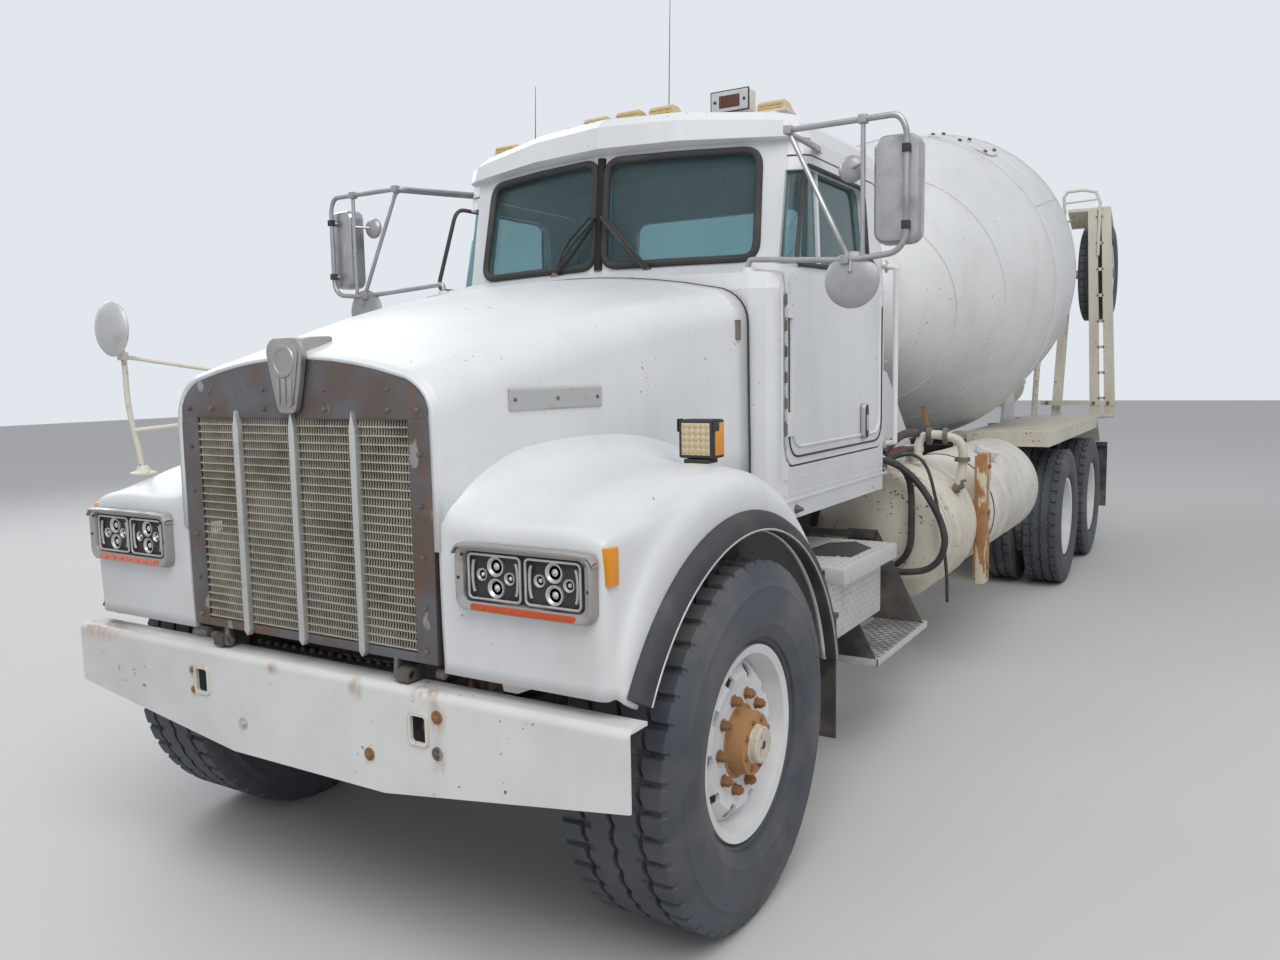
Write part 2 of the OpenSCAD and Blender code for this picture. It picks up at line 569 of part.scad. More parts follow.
module drum() color(white) on_axis() {
  rotate_extrude($fn = 96) polygon(concat(
    [for (r = drum_rows) [r[1], r[0]]],
    [for (i = [len(drum_rows) - 1:-1:0]) [drum_rows[i][1] - drum_t, drum_rows[i][0] + (i == 0 ? drum_t : 0)]],
    [[0, drum_t], [0, -14], [250, -14], [250, 0]]));
  // Output shaft into the gearbox
  translate([0, 0, -90]) cylinder(h = 80, r = 60);
  // Roller track
  translate([0, 0, track_s - 50]) rotate_extrude($fn = 96)
    polygon([[cone_r - 6, 0], [track_r, 0], [track_r, 100], [cone_r - 26, 100]]);
}
module drum_pedestal() color(white) {
  // Side plates over the rails, top box and cross plates
  both() side_plate([[3850, frame_top + fit], [5150, frame_top + fit], [4430, 1660], [4352, 1680], [4240, 2236],
    [4040, 2236], [3960, 2130]], rail_x - 80, rail_x - 60);
  both() box(rail_x - 80, rail_x - 1, 3850, 5150, frame_top + fit, frame_top + 20);
  front_plate([[-rail_x + 61, 1080], [rail_x - 61, 1080], [rail_x - 61, 1640], [-rail_x + 61, 1640]], 4120, 4140);
  // Head plate square to the drum's axis, bored for the motor
  on_axis(head_s - 20) difference() {
    translate([-rail_x + 61, -280, 0]) cube([2 * rail_x - 122, 560, 20]);
    translate([0, 0, -1]) cylinder(h = 22, r = 112);
  }
}
// Gearbox seated on the head plate, with the motor through it
module drum_drive() color(steel) on_axis() {
  difference() {
    translate([0, 0, head_s + fit]) cylinder(h = -20 - head_s - fit, r = 250);
    translate([0, 0, -100]) cylinder(h = 100, r = 60 + fit);
  }
  translate([0, 0, head_s - 300]) cylinder(h = 310, r = 110);
}
roller_a = 36;
roller_d = track_r + roller_r + fit;
roller_y = drum_at(track_s)[1] + roller_d * cos(roller_a) * sin(drum_tilt);
roller_z = drum_at(track_s)[2] - roller_d * cos(roller_a) * cos(drum_tilt);
module roller_place(side) {
  on_axis(track_s) rotate([0, 0, 0]) translate([side * roller_d * sin(roller_a), roller_d * cos(roller_a), 0]) children();
}
module roller(side) color(steel) roller_place(side) {
  difference() {
    translate([0, 0, -60]) cylinder(h = 120, r = roller_r);
    translate([0, 0, -61]) cylinder(h = 122, r = 30 + fit);
  }
}
module roller_stand() color(white) {
  for (side = [-1, 1]) {
    roller_place(side) translate([0, 0, -110]) cylinder(h = 220, r = 30);
    roller_place(side) for (s = [-1, 1]) translate([-50, -50, s * 85 - 15]) cube([100, 216, 30]);
  }
  // Side plates from the rails, and the beam that carries the brackets
  both() side_plate([[roller_y - 383, frame_top + fit], [roller_y + 217, frame_top + fit], [roller_y + 137, roller_z - 253],
    [roller_y - 113, roller_z - 253]], rail_x - 80, rail_x - 50);
  box(-630, 630, roller_y - 113, roller_y + 137, roller_z - 273, roller_z - 153);
}

// Rear deck, ladder, hopper, chute, booster
deck_z = 1210;
module rear_fenders() color(cream) both() {
  side_plate([[5770, deck_z - 12], [8320, deck_z - 12], [8600, 955], [8610, 965], [8325, deck_z], [5770, deck_z]], 560, 1150);
  box(1138, 1150, 5770, 8320, deck_z - 110, deck_z - 12);
  box(560, 1138, 5770, 5782, deck_z - 110, deck_z - 12);
  for (y = [5900, 7075, 8240]) box(rail_x + fit, 1100, y, y + 60, deck_z - 72, deck_z - 12);
  for (y = [5900, 7075, 8240]) box(rail_x + fit, rail_x + 50, y, y + 60, 900, deck_z - 72);
}
module mud_flaps() color(black) both() {
  box(620, 1200, 8748, 8758, 310, 930);
  box(rail_x + 16 + fit, 1200, 8700, 8748, 900, 940);
  box(800, 1120, 1482, 1492, 330, 800);
  box(rail_x + fit, 1120, 1492, 1516, 780, 800);
}
neck_r = 150;
neck_z = 1900;
charge_y = swivel_y + 100;
// Funnel with a round mouth, open at both ends
module funnel(z0, z1, r0, r1, spout) {
  difference() {
    union() { translate([0, 0, z0]) cylinder(h = z1 - z0, r1 = r0, r2 = r1); if (spout) bar([0, 0, z0 + 10], [0, -300, z0 - 170], r0 - 4); }
    translate([0, 0, z0 - 1]) cylinder(h = z1 - z0 + 2, r1 = r0 - 10, r2 = r1 - 9);
    if (spout) bar([0, 20, z0 + 22], [0, -302, z0 - 171], r0 - 13);
  }
}
module hopper() color(cream) {
  // Charge hopper, spouting into the mouth
  translate([0, charge_y, 0]) funnel(mouth_z + 280, mouth_z + 719, 190, 440, true);
  // Collector round the mouth's foot, cut clear of the turning drum
  difference() {
    translate([0, swivel_y, 0]) funnel(mouth_z - 871, mouth_z - 451, neck_r, 460, false);
    on_axis(2190) cylinder(h = drum_l - 2170, r1 = drum_r + 40, r2 = mouth_r + 38);
  }
  // Neck with the flange that carries the chute
  translate([0, swivel_y, neck_z]) difference() {
    union() { cylinder(h = mouth_z - 869 - neck_z, r = neck_r); cylinder(h = 14, r = neck_r + 25); }
    translate([0, 0, -1]) cylinder(h = mouth_z - 866 - neck_z, r = neck_r - 10);
  }
  // Legs from the frame's end
  both() {
    bar([500, frame_end - 60, frame_top - 20], [520, swivel_y - 60, mouth_z - 481], 28);
    bar([520, swivel_y - 60, mouth_z - 491], [375, charge_y - 40, mouth_z + 619], 24);
    bar([412, swivel_y - 60, mouth_z - 496], [520, swivel_y - 60, mouth_z - 486], 20);
    box(rail_x + 16 + fit, 520, frame_end - 90, frame_end - 30, frame_top - 60, frame_top - 10);
  }
}
// Ladder rails: inner and outer edge at the foot, then at the head
ladder_rails = [[1018, 1106, 948, 1030], [1150, 1246, 1068, 1150]];
ladder_z0 = 1170;
ladder_z1 = 3170;
module rear_ladder() color(cream) {
  for (r = ladder_rails) front_plate([[r[0], ladder_z0], [r[1], ladder_z0], [r[3], ladder_z1], [r[2], ladder_z1]], 8862, 8902);
  for (i = [0:7]) let (k = (i + 0.7) / 8, z = ladder_z0 + k * (ladder_z1 - ladder_z0))
    box(1104 - 78 * k, 1152 - 80 * k, 8858, 8906, z, z + 28);
  // Foot on the frame's end, cross beam beside it
  bar([rail_x + 18, 8870, 1120], [1240, 8870, 1190], 18);
  box(560, 1262, 8852, 8898, 1290, 1335);
  // Platform under the hoop, and its hand hoop
  side_plate([[8862, 3172], [9120, 3040], [9120, 3066], [8862, 3200]], 770, 1150);
  tube([[1050, 8850, 2740], [1058, 8850, 3240], [1018, 8850, 3345], [900, 8850, 3374], [760, 8850, 3370], [728, 8850, 3320], [740, 8864, 3180]], 14);
  tube([[740, 8864, 3180], [740, 8880, 3080], [790, 8990, 3112]], 12);
  tube([[735, 8850, 3262], [900, 8850, 3268], [1050, 8850, 3276]], 9);
}

// Trough of the chute along Y, open on top, from y0 to y1
module trough(y0, y1, r, t) {
  translate([0, y0, 0]) rotate([-90, 0, 0]) linear_extrude(height = y1 - y0) difference() {
    circle(r = r + t);
    circle(r = r);
    translate([-r * 2, -r * 2 - 40]) square([r * 4, r * 2]);
  }
}
chute_z = 1700;
chute_slope = 20;
module chute_yoke() color(cream) {
  translate([0, swivel_y, 0]) {
    translate([0, 0, neck_z + 14 + fit]) difference() { cylinder(h = 30, r = neck_r + 45); translate([0, 0, -1]) cylinder(h = 32, r = neck_r + fit); }
    both() {
      difference() {
        box(chute_r + 32, chute_r + 52, -60, 60, chute_z - 45, neck_z + 30);
        translate([chute_r + 30, 0, chute_z]) rotate([0, 90, 0]) cylinder(h = 24, r = 20 + fit);
      }
      box(neck_r + 12, chute_r + 52, -60, 60, neck_z + 20, neck_z + 40);
    }
  }
}
module chute_frame() {
  translate([0, swivel_y, chute_z]) rotate([-chute_slope, 0, 0]) children();
}
module main_chute() color(cream) chute_frame() {
  trough(-120, chute_l, chute_r, 6);
  both() translate([chute_r + 4, 0, 0]) rotate([0, 90, 0]) cylinder(h = 52, r = 20);
  // Hinge ears for the folding end
  both() difference() {
    side_plate([[chute_l - 60, 20], [chute_l - 1, 20], [fold_y + 18, fold_z - 12], [fold_y + 18, fold_z + 16], [fold_y - 18, fold_z + 16], [chute_l - 60, 40]], chute_r - 1, chute_r + 6);
    translate([chute_r - 2, fold_y, fold_z]) rotate([0, 90, 0]) cylinder(h = 10, r = 8 + fit);
  }
}
fold_y = 740;
fold_z = 70;
fold_l = 480;
fold_angle = 168;
module fold_chute() color(cream) chute_frame() translate([0, fold_y, fold_z]) rotate([fold_angle, 0, 0]) {
  translate([0, 0, -fold_z]) trough(14, fold_l, chute_r - 12, 6);
  both() {
    side_plate([[-14, -14], [60, -34], [60, -20], [-14, 14]], chute_r - 12, chute_r - 6);
    translate([chute_r - 12, 0, 0]) rotate([0, 90, 0]) cylinder(h = 18, r = 8);
  }
}

module booster_frame() { translate([0, arm_y, arm_z]) rotate([arm_up, 0, 0]) children(); }
arm_x = 690;
module booster_arm() color(cream) booster_frame() {
  both() {
    box(arm_x - 40, arm_x + 40, 0, arm_l + 60, -58, 58);
    rotate([0, 90, 0]) translate([0, 0, rail_x + 20]) cylinder(h = arm_x + 40 - rail_x - 20, r = 62);
    rotate([0, 90, 0]) translate([0, 0, rail_x - 30]) cylinder(h = 60, r = 38);
    translate([0, arm_l, 0]) rotate([0, 90, 0]) translate([0, 0, arm_x]) cylinder(h = booster_mid - arm_x + 60, r = 45);
  }
  box(-arm_x, arm_x, arm_l - 60, arm_l + 60, -50, 50);
}

// Hood
// Hood sections: station, crown height in the middle, height of the shoulder line
hood_rows = [[30, 1750, 1690], [50, 1765, 1703], [120, 1788, 1722], [300, 1850, 1770], [560, 1928, 1838],
  [850, 1988, 1897], [1150, 2034, 1948], [hood_back, 2068, 1990]];
function hood_w(y) = hood_x0 + (hood_x1 - hood_x0) * pow(max(y - 30, 0) / (hood_back - 30), 1.15) - (y < 40 ? 12 : 0);
hood_sr = 125;
// Half outline of a section drawn in by d, from the side's foot to the middle
function hood_half(r, d, yw) = let (w = hood_w(yw), s = hood_sr)
  concat([[w - d, 1230], [w - d, 1400], [w - 4 - d, r[2] - s]],
    [for (a = [18:18:90]) [w - 4 - s + (s - d) * cos(a), r[2] - s + (s - d) * sin(a) + (a > 60 ? (a - 60) * 0.25 : 0)]],
    [for (k = [0.75, 0.5, 0.25, 0]) [(w - 4 - s) * k, r[1] - d - (r[1] - r[2] - 8) * k * k]]);
function hood_ring(i, d) = let (k = d > 0 ? max(i, 1) : i, y = hood_rows[i][0],
    h = hood_half(hood_rows[k], d, hood_rows[k][0]), n = len(h))
  concat([for (p = h) [p[0], y, p[1]]], [for (j = [n - 2:-1:0]) [-h[j][0], y, h[j][1]]]);

// Fender lines from the foot of its face over the top to its rear foot:
// station and height on the lamp pod, the same on the outer band, blend into the hood
fender_rows = [
  [42, 885, 60, 885, 0], [38, 1000, 70, 985, 0], [36, 1150, 120, 1100, 0], [40, 1260, 178, 1180, 0.1], [62, 1305, 240, 1235, 0.4],
  [160, 1345, 320, 1285, 0.8], [300, 1384, 420, 1326, 1], [450, 1406, 530, 1354, 1], [620, 1412, 660, 1372, 1],
  [800, 1404, 800, 1372, 1], [950, 1378, 930, 1342, 1], [1090, 1325, 1060, 1288, 1], [1210, 1252, 1170, 1212, 1],
  [1310, 1160, 1270, 1118, 1], [1390, 1050, 1350, 1010, 0.8], [1436, 920, 1400, 900, 0.5], [1440, 790, 1424, 780, 0.3], [1440, 650, 1436, 650, 0.2]];
function arch_point(y, z, r) = let (v = unit([y - arch_y, z - arch_z])) [arch_y + v[0] * r, arch_z + v[1] * r];
// Columns from the hood's side out to the arch's edge; d draws the skin in
function fender_line(f, d) = let (w = hood_w(max(50, min(f[0], hood_back))), m = f[4],
    pod = [f[0], f[1]], band = [f[2], f[3]], mid = [arch_y, arch_z],
    pin = unit(mid - pod) * d, bin = unit(mid - band) * d, far = norm(band - mid) - arch_r,
    edge = arch_point(f[2], f[3], arch_r), lip = arch_point(f[2], f[3], arch_r + min(60, far * 0.6)))
  [for (c = [[w - 20, pod + pin + [0, 130 * m]], [w + 16 - d * 0.7, pod + pin + [0, 55 * m]], [w + 70, pod + pin + [0, 14 * m]],
      [(w + 1010) / 2, pod + pin], [930, pod + pin],
      [1040, pod * (1 - m / 2) + band * m / 2 + pin],
      [1066 - d * 0.4, pod * (1 - m * 0.8) + band * m * 0.8 + pin + (1 - m) * [10, 0]],
      [1080 - d * 0.7, band + bin + (1 - m) * [0, 6]],
      [1097 - d * 0.9, band * 0.75 + lip * 0.25 + bin * 0.5],
      [fender_x - d, band * 0.3 + lip * 0.7], [fender_x - d, edge]]) [c[0], c[1][0], c[1][1]]];

module hood() color(white) {
  skin([for (i = [0:len(hood_rows) - 1]) hood_ring(i, 0)], [for (i = [0:len(hood_rows) - 1]) hood_ring(i, hood_t)]);
  rows = [for (i = [len(fender_rows) - 1:-1:0]) fender_rows[i]];
  both() {
    skin([for (f = rows) fender_line(f, 0)], [for (f = rows) fender_line(f, hood_t)]);
    box(860, 900, 878, 922, 1372, 1396);
  }
  // Feet of the hood mirror
  translate([-1000, 190, 1318]) cylinder(h = 42, r = 20);
  box(-640, -605, 455, 485, 1675, 1705);
}
module fender_flares() color(dark) both() {
  a0 = atan2(890 - arch_z, 60 - arch_y);
  a1 = atan2(660 - arch_z, 1430 - arch_y);
  intersection() {
    translate([fender_x + fit, arch_y, arch_z]) rotate([90, 0, 90]) rotate([0, 0, a1])
      rotate_extrude(angle = a0 - a1, $fn = 96) polygon([[arch_r + 1, 0], [arch_r + flare_w - 6, 0], [arch_r + flare_w - 20, 26],
        [arch_r + 34, 42], [arch_r + 8, 44], [arch_r + 1, 34]]);
    box(1000, 1300, 0, 1446, 600, 1400);
  }
}
grille_z0 = 905;
module grille() color(steel) {
  r = hood_rows[1];
  h = hood_half(r, hood_t + 0.5, r[0]);
  out = concat([[h[0][0] - 10, grille_z0]], h, [for (i = [len(h) - 2:-1:0]) [-h[i][0], h[i][1]]], [[-h[0][0] + 10, grille_z0]]);
  difference() {
    front_plate(out, 32, 58);
    front_plate([[-450, 930], [450, 930], [450, 1570], [-450, 1570]], 27, 59);
  }
  // Mesh as rows of slats, with the three upright bars in front
  for (z = [940:22:1560]) box(-450, 450, 40, 48, z, z + 12);
  for (x = [-250, 0, 250]) side_plate([[8, 900], [27, 885], [39, 885], [39, 1590], [27, 1590], [8, 1570]], x - 11, x + 11);
  // Hinge lugs and pins under the surround
  both() {
    side_plate([[32, grille_z0 + 8], [58, grille_z0 + 8], [54, 852], [46, 847], [34, 847], [26, 852]], rail_x - 70, rail_x - 56);
    translate([rail_x - 57, hinge_y, hinge_z]) rotate([0, 90, 0]) cylinder(h = 40, r = hinge_pin);
  }
  // Plain shield at the top of the middle bar
  front_plate([[-40, 1585], [40, 1585], [62, 1640], [85, 1790], [60, 1810], [-60, 1810], [-85, 1790], [-62, 1640]], 0, 27.7);
}
module headlamps() color(steel) both() {
  translate([835, 35.7, 1165]) {
    difference() {
      rotate([90, 0, 0]) linear_extrude(height = 30) round_rect(435, 180, 36);
      for (x = [-92, 92]) translate([x, -8, 6]) rotate([90, 0, 0]) linear_extrude(height = 30) round_rect(168, 128, 16);
    }
    for (x = [-92, 92]) translate([x, -8.3, 6]) rotate([90, 0, 0]) linear_extrude(height = 12) round_rect(160, 120, 14);
  }
  // Square turn lamp on the fender
  translate([880, 880, 1396 + fit]) { box(-14, 14, 0, 40, 0, 14); box(-66, 66, -20, 70, 14, 144); }
}
module hood_mirror() color(steel) {
  translate([-1000, 100, 1870]) rotate([90, 0, 0]) translate([0, 0, -12]) cylinder(h = 24, r = 96);
  tube([[-1000, 115, 1870], [-1000, 150, 1600], [-1000, 188, 1362]], 9);
  bar([-1000, 120, 1800], [-646, 470, 1690], 7);
}

// Doors
module door() {
  difference() {
    intersection() {
      cab_walls();
      side_plate(door_outline(door_gap), 780, 960);
    }
    side_plate(door_window(0), 770, 970);
  }
  // Vent window bar and pull handle
  intersection() {
    cab_walls(8, cab_wall - 4);
    side_plate([[1905, 2080], [1930, 2080], [1960, 2480], [1935, 2480]], 780, 960);
  }
  translate([cab_x + 4, 2400, 1455]) rotate([0, 90, 0]) linear_extrude(height = 18) round_rect(150, 46, 20);
  box(cab_x - 6, cab_x + 5, 2390, 2410, 1395, 1515);
  // Hinge barrels in front of the door, with their leaves
  for (z = [1440, 1880]) {
    translate([cab_x + 5, door_front, z]) cylinder(h = 90, r = 4.5);
    box(cab_x + 1.5, cab_x + 8.5, door_front, door_front + 60, z, z + 90);
    box(cab_x - 6, cab_x + 4, door_front + 20, door_front + 60, z + 10, z + 80);
  }
}
module door_glass() {
  intersection() {
    cab_walls(18, 24);
    difference() {
      side_plate(door_window(fit), 780, 960);
      side_plate([[1904, 2070], [1931, 2070], [1961, 2490], [1934, 2490]], 770, 970);
    }
  }
}

// Steering and wheels
arm_back = 150;
module knuckle() translate([kingpin_x, front_axle_y, front_r]) {
  // Yoke above and below the beam's boss, pinned through it
  for (s = [-1, 1]) { translate([0, 0, s * 82 - 20]) cylinder(h = 40, r = 50); box(0, 75, -50, 50, s * 82 - 20, s * 82 + 20); }
  translate([0, 0, -90]) cylinder(h = 180, r = 24);
  box(58, 75, -50, 50, -102, 102);
  rotate([0, 90, 0]) { translate([0, 0, 58]) cylinder(h = 22, r = 110); translate([0, 0, 60]) cylinder(h = front_mid - kingpin_x + 30, r = 45); }
  // Steering arm back to the tie rod
  difference() {
    side_plate([[-20, -102], [arm_back + 30, -102], [arm_back + 30, -80], [-20, -80]], -26, 26);
    translate([0, arm_back, -103]) cylinder(h = 24, r = 12 + fit);
  }
}
module tie_rod() color(dark) {
  y = front_axle_y + arm_back;
  z = front_r - 102 - 34;
  bar([-kingpin_x, y, z], [kingpin_x, y, z], 20);
  for (s = [-1, 1]) translate([s * kingpin_x, y, z - 24]) { cylinder(h = 48, r = 30); cylinder(h = 76, r = 12); }
}
// Half of a tyre's outline on one side of its middle: radius and offset
function tyre_half(r, w) = let (h = r - bead_r) [[bead_r, 0.36 * w], [bead_r + 15, 0.36 * w], [bead_r + 15 + 0.06 * h, 0.41 * w], [bead_r + 0.25 * h, 0.47 * w],
  [bead_r + 0.45 * h, 0.5 * w], [bead_r + 0.65 * h, 0.492 * w], [bead_r + 0.84 * h, 0.465 * w], [r - 0.05 * h, 0.435 * w], [r, 0.39 * w]];
function tread(r, w) = [for (z = [0.22, 0, -0.22]) each [[r, z * w + 7], [r - 14, z * w + 5], [r - 14, z * w - 5], [r, z * w - 7]]];
function mirrored(p) = [for (i = [len(p) - 1:-1:0]) [p[i][0], -p[i][1]]];
module tyre(r, w) {
  o = tyre_half(r, w);
  n = [for (p = o) [min(p[0], r - 34), p[1] - 26]];
  rotate_extrude($fn = 96) polygon(concat(o, tread(r, w), mirrored(o),
    [for (i = [0:len(n) - 1]) [n[i][0], -n[i][1]]], [for (i = [len(n) - 1:-1:0]) n[i]]));
}
// Rim barrel of half width hw with flanges, and a disc whose face is at offset dz
module rim(hw, dz, side, dish = 46) {
  rotate_extrude($fn = 96) polygon([[bead_r + 13, -hw - 12], [bead_r + 13, -hw], [bead_r - fit, -hw], [bead_r - fit, -hw + 40],
    [bead_r - 24, -hw + 60], [bead_r - 24, hw - 60], [bead_r - fit, hw - 40], [bead_r - fit, hw], [bead_r + 13, hw], [bead_r + 13, hw + 12],
    [bead_r - 14, hw + 6], [bead_r - 34, hw - 60], [bead_r - 34, -hw + 60], [bead_r - 14, -hw - 6]]);
  difference() {
    rotate_extrude($fn = 96) polygon([[80, dz], [170, dz], [205, dz + side * 6], [bead_r - 28, dz - side * dish], [bead_r - 28, dz - side * (dish + 12)],
      [205, dz - side * 8], [170, dz - side * 13], [80, dz - side * 13]]);
    for (a = [18:36:342]) rotate([0, 0, a]) translate([212, 0, dz - 80]) cylinder(h = 160, r = 23, $fn = 32);
  }
}
module front_rim_body() {
  rim(front_w * 0.36 + fit, 118, 1);
  difference() {
    translate([0, 0, -40]) cylinder(h = 210, r = 92);
    translate([0, 0, -41]) cylinder(h = 160, r = 45 + fit);
  }
  translate([0, 0, 170]) cylinder(h = 26, r = 52);
}
module drive_rims_body() {
  hw = drive_w * 0.36 + fit;
  translate([0, 0, dual_gap / 2]) rim(hw, 1 - dual_gap / 2 + 13, -1, 116);
  translate([0, 0, -dual_gap / 2]) rim(hw, dual_gap / 2 - 14, 1, 116);
  difference() {
    union() { translate([0, 0, -120]) cylinder(h = 250, r = 92); translate([0, 0, -230]) cylinder(h = 200, r = 205); }
    translate([0, 0, -231]) cylinder(h = 300, r = 50 + fit);
    translate([0, 0, -231]) cylinder(h = 110, r = 180);
  }
  translate([0, 0, 130]) cylinder(h = 40, r = 70);
}
module booster_rim_body() {
  rim(booster_w * 0.36 + fit, 70, 1);
  difference() {
    translate([0, 0, -60]) cylinder(h = 200, r = 85);
    translate([0, 0, -61]) cylinder(h = 130, r = 45 + fit);
  }
}
module at_front(side) { translate([side * front_mid, front_axle_y, front_r]) rotate([0, side * 90, 0]) children(); }
module at_drive(side, y) { translate([side * dual_mid, y, drive_r]) rotate([0, side * 90, 0]) children(); }
module at_booster(side) { translate([side * booster_mid, booster_y, booster_z]) rotate([0, side * 90, 0]) children(); }
module drive_tyres() { for (s = [-1, 1]) translate([0, 0, s * dual_gap / 2]) tyre(drive_r, drive_w); }

station() chassis_frame();
station() front_bumper();
station() front_axle();
station() drive_axles();
station() engine_block();
station() radiator();
station() cab_shell();
station() cab_glass();
station() cab_interior();
station() lamps();
station() mirrors();
station() side_steps();
station() water_tank();
station() fuel_tank();
station() hose_outer();
station() hose_inner();
station() hose_drain();
station() drum_pedestal();
station() drum_drive();
station() roller_stand();
station() rear_fenders();
station() mud_flaps();
station() hopper();
station() rear_ladder();
station() hood();
station() fender_flares();
station() grille();
station() headlamps();
station() hood_mirror();
station() color(white) door();  // door_left
station() color(white) mirror([1, 0, 0]) door();  // door_right
station() color(clear) door_glass();  // door_glass_left
station() color(clear) mirror([1, 0, 0]) door_glass();  // door_glass_right
station() color(dark) knuckle();  // knuckle_left
station() color(dark) mirror([1, 0, 0]) knuckle();  // knuckle_right
station() tie_rod();
station() color(black) at_front(1) tyre(front_r, front_w);  // front_tyre_left
station() color(black) at_front(-1) tyre(front_r, front_w);  // front_tyre_right
station() color(white) at_front(1) front_rim_body();  // front_rim_left
station() color(white) at_front(-1) front_rim_body();  // front_rim_right
station() color(black) at_drive(1, drive_axle_y) drive_tyres();  // drive_tyres_left_1
station() color(black) at_drive(-1, drive_axle_y) drive_tyres();  // drive_tyres_right_1
station() color(black) at_drive(1, drive_axle2_y) drive_tyres();  // drive_tyres_left_2
station() color(black) at_drive(-1, drive_axle2_y) drive_tyres();  // drive_tyres_right_2
station() color(white) at_drive(1, drive_axle_y) drive_rims_body();  // drive_rims_left_1
station() color(white) at_drive(-1, drive_axle_y) drive_rims_body();  // drive_rims_right_1
station() color(white) at_drive(1, drive_axle2_y) drive_rims_body();  // drive_rims_left_2
station() color(white) at_drive(-1, drive_axle2_y) drive_rims_body();  // drive_rims_right_2
station() drum();
station() roller(1);  // roller_left
station() roller(-1);  // roller_right
station() chute_yoke();
station() main_chute();
station() fold_chute();
station() booster_arm();
station() color(black) at_booster(1) tyre(booster_r, booster_w);  // booster_tyre_left
station() color(black) at_booster(-1) tyre(booster_r, booster_w);  // booster_tyre_right
station() color(white) at_booster(1) booster_rim_body();  // booster_rim_left
station() color(white) at_booster(-1) booster_rim_body();  // booster_rim_right
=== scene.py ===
# %% [markdown]
# A concrete mixer truck is three machines in one: a road tractor, a turning
# drum and a chute with its own extra axle behind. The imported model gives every
# part its place and its joint, so the script starts by loading it as a fixed
# frame. Each piece made below rides on one of its bodies.

# %% Load the frame
import math
import random

import bmesh
import bpy
from mathutils import Matrix, Vector


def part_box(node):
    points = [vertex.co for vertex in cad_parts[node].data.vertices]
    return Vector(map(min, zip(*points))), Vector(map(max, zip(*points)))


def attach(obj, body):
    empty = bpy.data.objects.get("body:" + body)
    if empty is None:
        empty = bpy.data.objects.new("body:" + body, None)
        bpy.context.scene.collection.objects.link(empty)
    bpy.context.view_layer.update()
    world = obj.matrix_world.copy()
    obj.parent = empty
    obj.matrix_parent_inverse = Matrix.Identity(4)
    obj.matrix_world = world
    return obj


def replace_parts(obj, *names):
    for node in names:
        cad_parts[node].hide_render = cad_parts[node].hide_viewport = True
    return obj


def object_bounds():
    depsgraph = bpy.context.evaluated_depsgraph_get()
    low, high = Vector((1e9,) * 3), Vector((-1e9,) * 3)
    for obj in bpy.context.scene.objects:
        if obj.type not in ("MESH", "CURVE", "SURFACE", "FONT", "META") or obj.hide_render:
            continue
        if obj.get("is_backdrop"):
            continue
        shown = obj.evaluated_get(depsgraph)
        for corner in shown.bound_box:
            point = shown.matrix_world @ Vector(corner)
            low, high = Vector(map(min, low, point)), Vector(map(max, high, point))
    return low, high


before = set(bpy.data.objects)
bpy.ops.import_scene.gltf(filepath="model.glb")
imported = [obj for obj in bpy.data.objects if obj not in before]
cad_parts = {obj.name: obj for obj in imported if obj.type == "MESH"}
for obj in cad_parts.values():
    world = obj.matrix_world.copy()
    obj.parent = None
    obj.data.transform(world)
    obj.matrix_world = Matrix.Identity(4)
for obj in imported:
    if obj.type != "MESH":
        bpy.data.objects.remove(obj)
cad_low, cad_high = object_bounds()

# %% [markdown]
# Truck builders measure back from the bumper. Every point below is written the
# same way: across, back from the bumper, up from the ground, in metres. One
# helper moves such a point into the frame, whose middle lies under the truck.

# %% Points counted back from the bumper
FRONT = cad_low.y


def at(x, back, z):
    return Vector((x, back + FRONT, z))


print("overall length", round(cad_high.y - cad_low.y, 3))

# %% [markdown]
# The camera stands low beside the left front corner. Its place and turn were
# worked out from known sizes of the truck, so the frame needs no fitting.

# %% Camera
def aim(yaw, pitch, roll):
    forward = Vector((-math.sin(yaw) * math.cos(pitch), math.cos(yaw) * math.cos(pitch),
        -math.sin(pitch)))
    right = Vector((math.cos(yaw), math.sin(yaw), 0))
    up = right.cross(forward)
    side = math.cos(roll) * right + math.sin(roll) * up
    top = -math.sin(roll) * right + math.cos(roll) * up
    return Matrix((side, top, -forward)).transposed().to_4x4()


camera = bpy.data.objects.new("camera", bpy.data.cameras.new("camera"))
bpy.context.scene.collection.objects.link(camera)
LENS_PLACE = at(2.384, -1.9475, 1.6885)
YAW, PITCH, ROLL = 0.5473, 0.1067, -0.0174
camera.matrix_world = Matrix.Translation(LENS_PLACE) @ aim(YAW, PITCH, ROLL)
camera.data.sensor_width = 36
camera.data.lens = 28.25
camera.data.clip_end = 200
bpy.context.scene.camera = camera
print("camera at", [round(v, 2) for v in camera.location])

# %% [markdown]
# Overcast light is one huge soft source with a slightly brighter part. The
# world gives the soft part, and two large lamps give the paint some shape. The
# camera, glass and bright metal see a plain pale sky instead.

